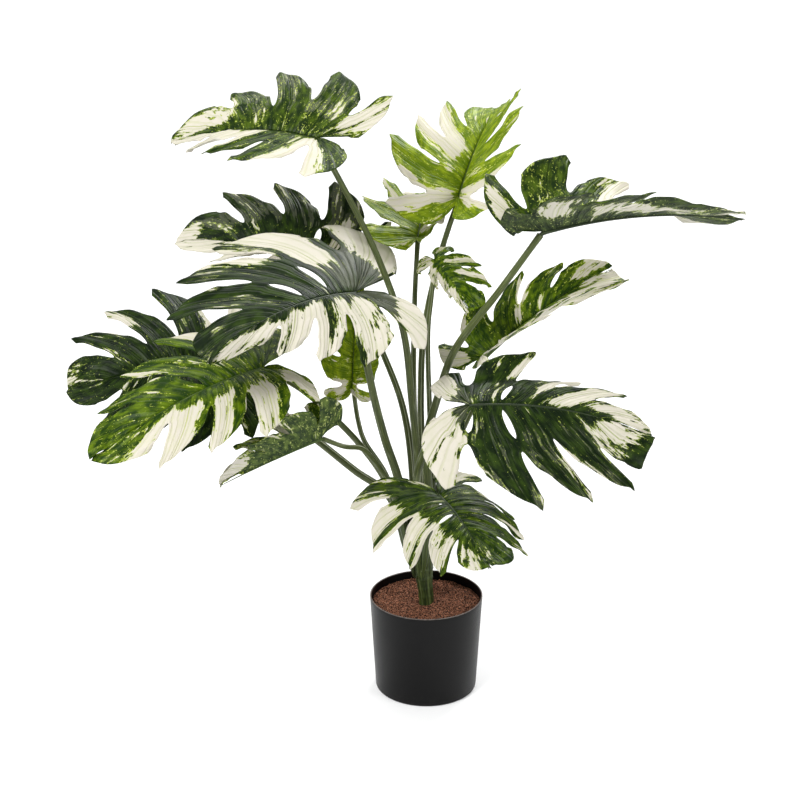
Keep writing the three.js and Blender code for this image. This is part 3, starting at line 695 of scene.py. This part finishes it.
def blade_point(leaf, space, side, lobe, c, t):
    """The place in space and the flat coordinates of a point of the blade."""
    vein_share = 0.5 + (VEIN_END - 0.5) * t
    f = c * 2 * vein_share if c < 0.5 else vein_share + (c - 0.5) * 2 * (1 - vein_share)
    place, across_share, ahead_share, loose = flat_point(leaf, side, lobe, f, t)
    across = across_share * space.length
    on_rib, face = space.midrib(ahead_share)
    fold = math.radians(half_mix(leaf["fold"], side, place))
    curl = math.radians(leaf["arch"][side > 0]) / (0.5 * space.length)
    tilt = fold - curl * across
    out = (math.sin(fold) - math.sin(tilt)) / curl
    lift = (math.cos(tilt) - math.cos(fold)) / curl
    lobe_number = side * 20 + lobe
    wander = RAGGED * (2 * draw(leaf["seed"], 50 + lobe_number) - 1) + leaf["raised"].get((side, lobe), 0)
    twist = RAGGED * (2 * draw(leaf["seed"], 90 + lobe_number) - 1) * (f - 0.5)
    stray = loose * (wander + twist) + relief(leaf, side, lobe, c, t, loose)
    outwards = space.right * side * (out - stray * math.sin(tilt))
    upwards = face * (lift + stray * math.cos(tilt))
    return on_rib + outwards + upwards, (side * across, ahead_share * space.length)


print("quilting swells by", SWELL, "mm")

# %% [markdown]
# ## Making a blade
#
# Every lobe starts as one flat grid from create_grid. Its two grid directions are c, from edge to edge of
# the lobe, and t, from the midrib out, and each of its points is then moved to its place by the leaf rule.
# The lobes are welded where they touch, up to the slits, and a Solidify modifier gives the sheet its
# thickness. The grid is the easy way here because its lines already run along the veins, which the marbling
# and the quilting both need.

# %% Blade maker
LOBE_COLUMNS = 16
LOBE_ROWS = 50
WELD = 0.02 * MM
SOFT_PLACE = 0.35
SOFT_OUT = 0.22
PAST_EDGE = 2


def soft_range(at, low, high, softness):
    """1 between low and high and 0 outside them, with soft borders."""
    return smooth_step((at - low) / softness + 0.5) * smooth_step((high - at) / softness + 0.5)


def plan_value(patches, side, lobes_in, t):
    """The strongest of a leaf's patches at a point. A patch that ends at 1 has no border at the edge."""
    value = 0.0
    for half, first, last, start, end, amount in patches:
        if half == side:
            inside = soft_range(lobes_in, first, last, SOFT_PLACE)
            outward = soft_range(t, start, end if end < 1 else PAST_EDGE, SOFT_OUT)
            value = max(value, amount * inside * outward)
    return value


def lobe_width(leaf, space, side, lobe, t):
    """The distance in metres between the two edges of a lobe."""
    _, across_a, ahead_a, _ = flat_point(leaf, side, lobe, 0, t)
    _, across_b, ahead_b, _ = flat_point(leaf, side, lobe, 1, t)
    return math.hypot(across_a - across_b, ahead_a - ahead_b) * space.length * MM


def add_lobe(bm, layers, leaf, space, side, lobe):
    """One lobe: a grid whose points are moved to their places, with its two UV maps and three attributes."""
    veins, flat, width_of, pale_of, grey_and_sheen_of = layers
    made = bmesh.ops.create_grid(bm, x_segments=LOBE_COLUMNS, y_segments=LOBE_ROWS, size=0.5)
    widths = [lobe_width(leaf, space, side, lobe, row / LOBE_ROWS) for row in range(LOBE_ROWS + 1)]
    maps = {}
    for vert in made["verts"]:
        c, t = clamped(vert.co.x + 0.5), clamped(vert.co.y + 0.5)
        point, pressed = blade_point(leaf, space, side, lobe, c, t)
        vert.co = point * MM
        cream = plan_value(leaf["cream"], side, lobe + c, t)
        vert[pale_of] = leaf["base_pale"] + cream * (1 - leaf["base_pale"])
        # The grey plan: grey-green tissue and, in part, a painted sheen on the green.
        vert[grey_and_sheen_of] = plan_value(leaf["grey"], side, lobe + c, t)
        vert[width_of] = widths[round(t * LOBE_ROWS)]
        maps[vert] = ((side * (lobe + c), t), (pressed[0] * MM, pressed[1] * MM))
    faces = {face for vert in made["verts"] for face in vert.link_faces}
    for face in faces:
        face.smooth = True
        for loop in face.loops:
            loop[veins].uv, loop[flat].uv = maps[loop.vert]
    if side > 0:
        bmesh.ops.reverse_faces(bm, faces=list(faces))


def link_piece(name, bm, materials, node=None):
    """Turns a bmesh into a piece that rides on the plant's one body."""
    mesh = bpy.data.meshes.new(name)
    bm.to_mesh(mesh)
    bm.free()
    for material in materials:
        mesh.materials.append(material)
    piece = bpy.data.objects.new(name, mesh)
    bpy.context.scene.collection.objects.link(piece)
    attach(piece, "root")
    if node:
        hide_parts(node)
    return piece


def make_blade(leaf):
    bm = bmesh.new()
    layers = [bm.loops.layers.uv.new(name) for name in ("veins", "flat")]
    layers += [bm.verts.layers.float.new(name) for name in ("width", "pale", "grey")]
    space = LeafFrame(leaf)
    for side in (-1, 1):
        for lobe in range(leaf["lobes"]):
            add_lobe(bm, layers, leaf, space, side, lobe)
    bmesh.ops.remove_doubles(bm, verts=bm.verts, dist=WELD)
    bmesh.ops.dissolve_degenerate(bm, edges=bm.edges, dist=WELD)
    name = leaf["name"]
    faces = [leaf_finish(leaf, kind) for kind in ("face", "underside")]
    blade = link_piece(f"leaf_{name}", bm, faces, f"blade_{name}")
    sheet = blade.modifiers.new("sheet", "SOLIDIFY")
    sheet.thickness = BLADE_THICKNESS * MM
    sheet.offset = 0
    sheet.material_offset = 1
    return blade


blades = {leaf["name"]: make_blade(leaf) for leaf in LEAVES}
print("blades:", sum(len(b.data.polygons) for b in blades.values()), "faces before their thickness")

# %% [markdown]
# ## Stalks and midribs
#
# A stalk is a tapering stem with a shallow channel along its inner side. Low down its edges are thin pale
# wings, which wrapped the next leaf when it grew. The midrib is the same tissue carried on through the
# blade, so both are made by one tool: a ring of edges is extruded from step to step and each new ring is
# set square to the path.


# %% Tube tool
CURVE_STEPS = 40


def even_points(knots, count):
    """count points at even steps along a smooth curve through the knots, the same curve as in the solids."""
    ends = [2 * knots[0] - knots[1], *knots, 2 * knots[-1] - knots[-2]]
    dense = []
    for a, b, c, d in zip(ends, ends[1:], ends[2:], ends[3:]):
        gaps = [max((q - p).length ** 0.5, 1e-6) for p, q in ((a, b), (b, c), (c, d))]
        leave = ((b - a) / gaps[0] - (c - a) / (gaps[0] + gaps[1]) + (c - b) / gaps[1]) * gaps[1]
        reach = ((c - b) / gaps[1] - (d - b) / (gaps[1] + gaps[2]) + (d - c) / gaps[2]) * gaps[1]
        for s in (k / CURVE_STEPS for k in range(CURVE_STEPS)):
            h1, h2, h3 = 2 * s ** 3 - 3 * s ** 2 + 1, s ** 3 - 2 * s ** 2 + s, s ** 3 - s ** 2
            dense.append(b * h1 + leave * h2 + c * (1 - h1) + reach * h3)
    dense.append(knots[-1].copy())
    lengths = [0.0]
    for p, q in zip(dense, dense[1:]):
        lengths.append(lengths[-1] + (q - p).length)
    points, k = [], 0
    for i in range(count):
        wanted = lengths[-1] * i / (count - 1)
        while k < len(dense) - 2 and lengths[k + 1] < wanted:
            k += 1
        share = clamped((wanted - lengths[k]) / max(lengths[k + 1] - lengths[k], 1e-9))
        points.append(dense[k].lerp(dense[k + 1], share))
    return points, lengths[-1]


def swept_tube(bm, path, ring_radius, sides, inner):
    """Extrudes a closed tube along the path. ring_radius(share, angle) is in mm, and angle 0 faces inner."""
    skin = bm.verts.layers.float_vector["skin"]
    made = bmesh.ops.create_circle(bm, segments=sides, radius=1)
    ring = made["verts"]
    edges = list({edge for vert in ring for edge in vert.link_edges})
    angles = [FULL_TURN * k / sides for k in range(sides)]
    toward, gone = inner.copy(), 0.0
    first = list(ring)
    for k, point in enumerate(path):
        ahead = (path[min(k + 1, len(path) - 1)] - path[max(k - 1, 0)]).normalized()
        toward = (toward - ahead * toward.dot(ahead)).normalized()
        beside = ahead.cross(toward)
        if k:
            gone += (point - path[k - 1]).length
            new = bmesh.ops.extrude_edge_only(bm, edges=edges)["geom"]
            old_to_new = {}
            edges = [item for item in new if isinstance(item, bmesh.types.BMEdge)]
            for vert in (item for item in new if isinstance(item, bmesh.types.BMVert)):
                for edge in vert.link_edges:
                    if edge.other_vert(vert) in ring:
                        old_to_new[edge.other_vert(vert)] = vert
            ring = [old_to_new[vert] for vert in ring]
        for vert, angle in zip(ring, angles):
            radius = ring_radius(k / (len(path) - 1), angle)
            vert.co = (point + (toward * math.cos(angle) + beside * math.sin(angle)) * radius) * MM
            vert[skin] = (math.cos(angle), math.sin(angle), gone * MM)
    bmesh.ops.contextual_create(bm, geom=first)
    bmesh.ops.contextual_create(bm, geom=ring)


def tube_mesh():
    """An empty bmesh with the attribute skin: the direction round the tube, and the distance along it."""
    bm = bmesh.new()
    bm.verts.layers.float_vector.new("skin")
    return bm


def closed_up(bm):
    for face in bm.faces:
        face.smooth = len(face.verts) == 4
    bmesh.ops.recalc_face_normals(bm, faces=bm.faces)
    return bm


print("tube tool ready")

# %% [markdown]
# Stalk tissue is olive green with long pale threads, a dull wax and paler wings. Its noise reads the skin
# attribute, which goes round the tube without a seam and runs along it in metres.


# %% Stem finish
LIP_ANGLE = 0.62


def stem_finish(name, deep, bright, pale, wing_share, roughness):
    """Threads, clouds, a pale wing on each side of the channel low down, and short pale flecks."""
    material, tree, shader = new_material(name, roughness, 0.3)
    inner, beside, along = attribute(tree, "skin", "Vector").parts()

    def drawn_out(across, lengthwise):
        """A place for noise that is drawn out along the tube."""
        return vector(inner * across, beside * across, along * lengthwise)

    threads = noise_at(drawn_out(2.2, 14.0), 2.4, 5.0, 0.65)
    clouds = noise_at(drawn_out(1.0, 22.0), 1.0, 3.0)
    flecks = noise_at(drawn_out(6.0, 260.0), 1.4, 2.0)
    colour = mix(threads.ramp(0.36, 0.7), deep, bright)
    colour = mix(clouds.ramp(0.55, 0.8) * 0.35, colour, pale)
    wing = abs(inner - math.cos(LIP_ANGLE)).fall(0.03, 0.1) * along.fall(0.05, 0.35)
    colour = mix(wing * wing_share, colour, pale)
    colour = mix(flecks.ramp(0.68, 0.74) * 0.3, colour, pale)
    fill(shader, {"Base Color": colour, "Normal": bump(threads, 0.0004, 0.5)})
    return material


stalk_finish = stem_finish("stalk_skin", (0.040, 0.054, 0.014, 1), (0.112, 0.138, 0.038, 1),
                           (0.50, 0.54, 0.36, 1), 1.0, 0.46)
dark_rib = stem_finish("dark_midrib_skin", (0.007, 0.016, 0.003, 1), (0.026, 0.044, 0.011, 1),
                       (0.16, 0.20, 0.09, 1), 0.0, 0.45)
fresh_rib = stem_finish("fresh_midrib_skin", (0.028, 0.060, 0.006, 1), (0.085, 0.135, 0.016, 1),
                        (0.42, 0.50, 0.24, 1), 0.0, 0.45)
rib_finishes = {"old": dark_rib, "mature": dark_rib, "grown": fresh_rib, "young": fresh_rib}
cane_finish = stem_finish("cane_skin", (0.010, 0.020, 0.004, 1), (0.084, 0.114, 0.024, 1),
                          (0.20, 0.26, 0.10, 1), 0.3, 0.5)
print("stem finishes:", stalk_finish.name, dark_rib.name, fresh_rib.name, cane_finish.name)

# %% Stalks
STALK_RADIUS = 5.8
STALK_TAPER = 0.65
STALK_START = 160
CROWN_LEAN = -7
CROWN_SPREAD = 10
STALK_SIDES = 20
STALK_STEPS = 72


def stalk_path(leaf, space):
    """The stalk's line, from inside the crown, through its via points, to under the notch."""
    x, y, _ = leaf["via"][0]
    away = math.atan2(y, x - CROWN_LEAN)
    start = Vector((CROWN_LEAN + CROWN_SPREAD * math.cos(away), CROWN_SPREAD * math.sin(away), STALK_START))
    end = space.base - space.up * leaf["drop"] - space.forward * leaf["drop"] / 2
    return even_points([start, *map(Vector, leaf["via"]), end], STALK_STEPS)


def channel(angle, depth):
    """The cross-section's factor: a shallow channel at angle 0 with a raised lip on each side of it."""
    off = abs((angle + math.pi) % FULL_TURN - math.pi)
    dip = math.exp(-(off / 0.42) ** 2)
    lip = math.exp(-((off - LIP_ANGLE) / 0.16) ** 2)
    return 1 - depth * dip + 0.4 * depth * lip


def inner_side(path):
    """The side of a stalk that faces the cane's axis and the sky."""
    return (Vector((CROWN_LEAN, 0, path[-1].z)) - path[-1]).normalized() + Vector((0, 0, 0.8))


def make_stalk(leaf):
    space = LeafFrame(leaf)
    path, length = stalk_path(leaf, space)
    first = next(k for k, point in enumerate(path) if point.z > leaf["free"] - 6)
    share_of = lambda s: (first + s * (len(path) - 1 - first)) / (len(path) - 1)

    def ring_radius(s, angle):
        u = share_of(s)
        knee = 0.12 * math.exp(-((1 - u) * length / 14) ** 2)
        radius = STALK_RADIUS * leaf["thick"] * (1 - (1 - STALK_TAPER) * u) * (1 + knee)
        return radius * channel(angle, 0.2 * (1 - 0.6 * u))

    bm = tube_mesh()
    swept_tube(bm, path[first:], ring_radius, STALK_SIDES, inner_side(path))
    return link_piece(f"stem_{leaf['name']}", closed_up(bm), [stalk_finish], f"stalk_{leaf['name']}")


stems = [make_stalk(leaf) for leaf in LEAVES]
print(len(stems), "stalks")

# %% Midribs
RIB_STEPS = 40
RIB_SIDES = 12
RIB_RADIUS = 2.3
RIB_DEPTH = 1.9
RIB_END = 0.985


def make_midrib(leaf):
    """The rib: it comes out of the end of the stalk, passes the notch and runs under the blade to the tip."""
    space = LeafFrame(leaf)
    stalk, _ = stalk_path(leaf, space)
    path = [stalk[-3], stalk[-1]]
    for k in range(1, RIB_STEPS + 1):
        share = RIB_END * k / RIB_STEPS
        point, face = space.midrib(share)
        depth = RIB_DEPTH * (1 - 0.8 * share) * leaf["thick"] + GROOVE * 0.6
        path.append(point - face * depth)
    points, _ = even_points(path, RIB_STEPS + 8)

    def ring_radius(s, angle):
        return RIB_RADIUS * leaf["thick"] * (1.12 - 0.9 * s) * (1 + 0.25 * smooth_step((0.08 - s) / 0.08))

    bm = tube_mesh()
    swept_tube(bm, points, ring_radius, RIB_SIDES, space.up)
    return link_piece(f"midrib_{leaf['name']}", closed_up(bm), [rib_finishes[leaf["age"]]])


midribs = [make_midrib(leaf) for leaf in LEAVES]
print(len(midribs), "midribs")

# %% [markdown]
# ## The cane and its crown
#
# The cane is short and furrowed, like a bundle of stems grown together, and wears a few rings where old
# leaves were shed. At its top the sheaths of all the leaves wrap one another. Each sheath is a tube round
# the foot of its stalk, a little wider than it, that narrows to the stalk's own size where the stalk comes
# free.

# %% Crown
SOIL_LEVEL = 122
CANE_DEPTH = 50
CANE_RADIUS = 9
CROWN_RADIUS = 15
CROWN_LEVEL = 200
CANE_BEND_LEVEL = 160
CANE_SIDES = 48
CANE_STEPS = 80
SCAR_LEVELS = (131, 143, 158, 171)
SCAR_WIDTH = 1.3
SHEATH_SIDES = 18
SHEATH_STEPS = 26


def cane_radius(s, angle):
    swollen = smooth_step((s - 0.5) / 0.5)
    furrow = 0.10 * math.cos(4 * angle + 1.5 * s) + 0.05 * math.cos(9 * angle - 2 * s)
    height = (SOIL_LEVEL - CANE_DEPTH) + s * (CROWN_LEVEL - SOIL_LEVEL + CANE_DEPTH)
    scar = sum(0.06 * math.exp(-((height - level) / SCAR_WIDTH) ** 2) for level in SCAR_LEVELS)
    return (CANE_RADIUS + (CROWN_RADIUS - CANE_RADIUS) * swollen) * (1 + furrow * (1 - 0.4 * swollen) + scar)


def make_crown():
    bm = tube_mesh()
    knots = [Vector((0, 0, SOIL_LEVEL - CANE_DEPTH + 1)), Vector((0, 0, SOIL_LEVEL)),
             Vector((CROWN_LEAN / 2, 0, CANE_BEND_LEVEL)), Vector((CROWN_LEAN, 0, CROWN_LEVEL))]
    path, _ = even_points(knots, CANE_STEPS)
    swept_tube(bm, path, cane_radius, CANE_SIDES, Vector((0, -1, 0)))
    for leaf in LEAVES:
        line, _ = stalk_path(leaf, LeafFrame(leaf))
        last = next(k for k, point in enumerate(line) if point.z > leaf["free"] - 1)
        points, _ = even_points(line[:last + 1], SHEATH_STEPS)
        thick = STALK_RADIUS * leaf["thick"]

        def ring_radius(s, angle):
            taper = 1 - (1 - STALK_TAPER) * s * last / (len(line) - 1)
            grown_out = 0.2 + 0.8 * smooth_step(s / 0.45)
            return thick * taper * grown_out * (1.015 + 0.10 * (1 - s) ** 0.7) * channel(angle, 0.22)

        swept_tube(bm, points, ring_radius, SHEATH_SIDES, inner_side(line))
    return link_piece("crown_and_cane", closed_up(bm), [cane_finish], "crown")


crown = make_crown()
print("crown:", len(crown.data.polygons), "faces")

# %% [markdown]
# ## The soil
#
# The pot is filled with reddish-brown coconut fibre in small crumbs. A turned bed carries a rough top, and
# thousands of small crumbs lie on it, sunk to about their middles, so that the surface is real relief and
# catches the light. Their places come from a seeded draw.


# %% Soil finish
SOIL_DARK = (0.004, 0.0015, 0.001, 1)
SOIL_LIGHT = (0.37, 0.155, 0.088, 1)
SOIL_CLUMP = (0.115, 0.045, 0.025, 1)
SOIL_FIBRE = (0.60, 0.40, 0.27, 1)


def soil_finish_of(name):
    """Dark and light crumbs, with damp clumps and a few pale fibres."""
    material, tree, shader = new_material(name, 0.92, 0.2)
    place = object_place(tree)
    crumbs = noise_at(place, 520.0, 3.0, 0.75)
    fibres = noise_at(place, 1600.0, 2.0, 0.6, 1.2)
    colour = mix(crumbs.ramp(0.45, 0.57), SOIL_DARK, SOIL_LIGHT)
    colour = mix(noise_at(place, 160.0, 3.0).ramp(0.4, 0.7) * 0.4, colour, SOIL_CLUMP)
    colour = mix(fibres.ramp(0.64, 0.72) * 0.8, colour, SOIL_FIBRE)
    fill(shader, {"Base Color": colour, "Normal": bump(crumbs, 0.001, 0.8)})
    return material


soil_finish = soil_finish_of("coconut_fibre")
print("soil finish ready")

# %% Soil bed and crumbs
POT_HEIGHT = 133
RIM_RADIUS = 75
FOOT_RADIUS = 67.5
POT_WALL = 1.8
POT_FLOOR = 2.5
SOIL_RINGS = 32
SOIL_SIDES = 96
CRUMBS = 5200
CRUMBS_IN_LOT = 100


def inner_radius(z):
    return FOOT_RADIUS - POT_WALL + (RIM_RADIUS - FOOT_RADIUS) * z / POT_HEIGHT


def soil_height(x, y):
    """The slightly uneven top of the soil, the same as in the solids."""
    bump = 1.2 * math.sin(x / 9) * math.cos(y / 8) + 0.8 * math.sin((x + 2 * y) / 13)
    return SOIL_LEVEL + bump


def spun(profile, steps):
    """A bmesh turned from a profile of (radius, height) points in mm round the upright axis."""
    bm = bmesh.new()
    verts = [bm.verts.new((r * MM, 0, z * MM)) for r, z in profile]
    edges = [bm.edges.new(pair) for pair in zip(verts, verts[1:])]
    bmesh.ops.spin(bm, geom=verts + edges, cent=(0, 0, 0), axis=(0, 0, 1), angle=FULL_TURN, steps=steps,
                   use_merge=True)
    bmesh.ops.remove_doubles(bm, verts=bm.verts, dist=WELD)
    bmesh.ops.dissolve_degenerate(bm, edges=bm.edges, dist=WELD)
    bmesh.ops.recalc_face_normals(bm, faces=bm.faces)
    return bm


def make_soil():
    bottom = POT_FLOOR + 0.3
    edge = inner_radius(SOIL_LEVEL) - 0.4
    hole = CANE_RADIUS + 0.6
    rings = [hole + (edge - hole) * (1 - k / SOIL_RINGS) for k in range(SOIL_RINGS + 1)]
    profile = [(0, bottom), (inner_radius(bottom) - 0.4, bottom), *[(r, SOIL_LEVEL) for r in rings],
               (hole, SOIL_LEVEL - CANE_DEPTH), (0, SOIL_LEVEL - CANE_DEPTH)]
    bm = spun(profile, SOIL_SIDES)
    for vert in bm.verts:
        if vert.co.z > (SOIL_LEVEL - 1) * MM:
            x, y = vert.co.x / MM, vert.co.y / MM
            rough = 0.9 * noise.noise(Vector((x, y, 0)) / 3.1)
            vert.co.z = (soil_height(x, y) + rough - 0.6) * MM
    for face in bm.faces:
        face.smooth = True
    return link_piece("soil_bed", bm, [soil_finish], "soil")


def add_crumb(bm, k, low, high):
    """The crumb of number k, at a drawn place between two distances from the cane's axis."""
    radius = math.sqrt(low ** 2 + (high ** 2 - low ** 2) * draw(21, k))
    angle = FULL_TURN * draw(22, k)
    x, y = radius * math.cos(angle), radius * math.sin(angle)
    size = 0.7 + 1.0 * draw(23, k) ** 3
    turn = Matrix.Rotation(FULL_TURN * draw(24, k), 4, Vector((draw(25, k) - 0.5, draw(26, k) - 0.5, 0.3)))
    shape = Matrix.Diagonal((size, size * (0.6 + 0.5 * draw(27, k)), size * (0.55 + 0.5 * draw(28, k)), 1))
    place = Matrix.Translation(Vector((x, y, soil_height(x, y) - 0.1 + 0.25 * draw(29, k))) * MM)
    bmesh.ops.create_icosphere(bm, subdivisions=1, radius=MM, matrix=place @ turn @ shape)


def make_crumbs():
    """All crumbs in one piece, made in small lots, because an operator slows down in a crowded bmesh."""
    bm = bmesh.new()
    for start in range(0, CRUMBS, CRUMBS_IN_LOT):
        lot = bmesh.new()
        for k in range(start, start + CRUMBS_IN_LOT):
            add_crumb(lot, k, CANE_RADIUS + 2.4, inner_radius(SOIL_LEVEL) - 1.6)
        lot_mesh = bpy.data.meshes.new("lot")
        lot.to_mesh(lot_mesh)
        lot.free()
        bm.from_mesh(lot_mesh)
        bpy.data.meshes.remove(lot_mesh)
    return link_piece("soil_crumbs", bm, [soil_finish])


soil_bed = make_soil()
soil_crumbs = make_crumbs()
print("soil bed:", len(soil_bed.data.polygons), "faces")
print("crumbs:", CRUMBS, "with", len(soil_crumbs.data.polygons), "faces")

# %% [markdown]
# ## The pot
#
# A thin moulded pot of black plastic, slightly wider at the rim. It is turned from a profile with a rounded
# rim and foot. The finish is a satin black with a faint fine grain and slight cloudy wear. Its rim edge is
# painted lighter: partly scuffs where the plastic is rubbed, partly a painted highlight along the edge.


# %% Pot finish and pot
def pot_finish_of(name):
    """Cloudy satin black, a rim lighter by rubbed wear and a painted highlight, and a little dust at the
    foot.
    """
    material, tree, shader = new_material(name, 0.36, 0.15)
    place = object_place(tree)
    height = place.parts()[2]
    clouds = noise_at(place, 18.0, 4.0, 0.6)
    scuffs = noise_at(place, 420.0, 4.0, 0.75)
    colour = mix(clouds, (0.0014, 0.0014, 0.0015, 1), (0.0034, 0.0034, 0.0036, 1))
    # The rim edge is painted lighter: partly rubbed wear, partly a painted highlight along the edge.
    rim = height.ramp((POT_HEIGHT - 1.3) * MM, (POT_HEIGHT - 0.2) * MM)
    rim_wear_and_highlight = rim * (scuffs.ramp(0.35, 0.7) * 0.5 + 0.35)
    colour = mix(rim_wear_and_highlight, colour, (0.24, 0.20, 0.18, 1))
    dust = height.fall(0.0, 0.02) * (scuffs.ramp(0.5, 0.75) * 0.25)
    colour = mix(dust, colour, (0.10, 0.085, 0.07, 1))
    grain = noise_at(place, 2400.0, 2.0, 0.6)
    fill(shader, {"Base Color": colour, "Roughness": clouds * 0.14 + 0.31 + rim_wear_and_highlight * 0.3,
                  "Normal": bump(grain, 0.00012, 0.5)})
    return material


def arc(centre, radius, start, end, count):
    """Points on an arc of the profile, with its angles in degrees from straight outwards."""
    turns = [math.radians(start + (end - start) * k / count) for k in range(count + 1)]
    return [(centre[0] + radius * math.cos(a), centre[1] + radius * math.sin(a)) for a in turns]


POT_SIDES = 128
FOOT_ROUND = 3


def make_pot():
    """The pot's profile goes up its outside, over the rim and down its inside."""
    half = POT_WALL / 2
    wall = [(inner_radius(z) + POT_WALL, z) for z in range(6, 132, 6)]
    inner_wall = [(inner_radius(z), z) for z in range(126, 5, -8)]
    foot_middle = (FOOT_RADIUS - FOOT_ROUND, FOOT_ROUND)
    profile = [(0, 0), (FOOT_RADIUS - FOOT_ROUND, 0), *arc(foot_middle, FOOT_ROUND, -80, 0, 5), *wall,
               *arc((RIM_RADIUS - half, POT_HEIGHT - half), half, 0, 180, 8), *inner_wall,
               *arc((inner_radius(POT_FLOOR) - 2, POT_FLOOR + 2), 2, 0, -90, 4), (0, POT_FLOOR)]
    bm = spun(profile, POT_SIDES)
    for face in bm.faces:
        face.smooth = abs(face.normal.z) < 0.99
    return link_piece("nursery_pot", bm, [pot_finish_of("black_plastic")], "pot")


pot = make_pot()
print("pot:", [round(v / MM) for v in pot.dimensions], "mm")

# %% Update the scene
bpy.context.view_layer.update()
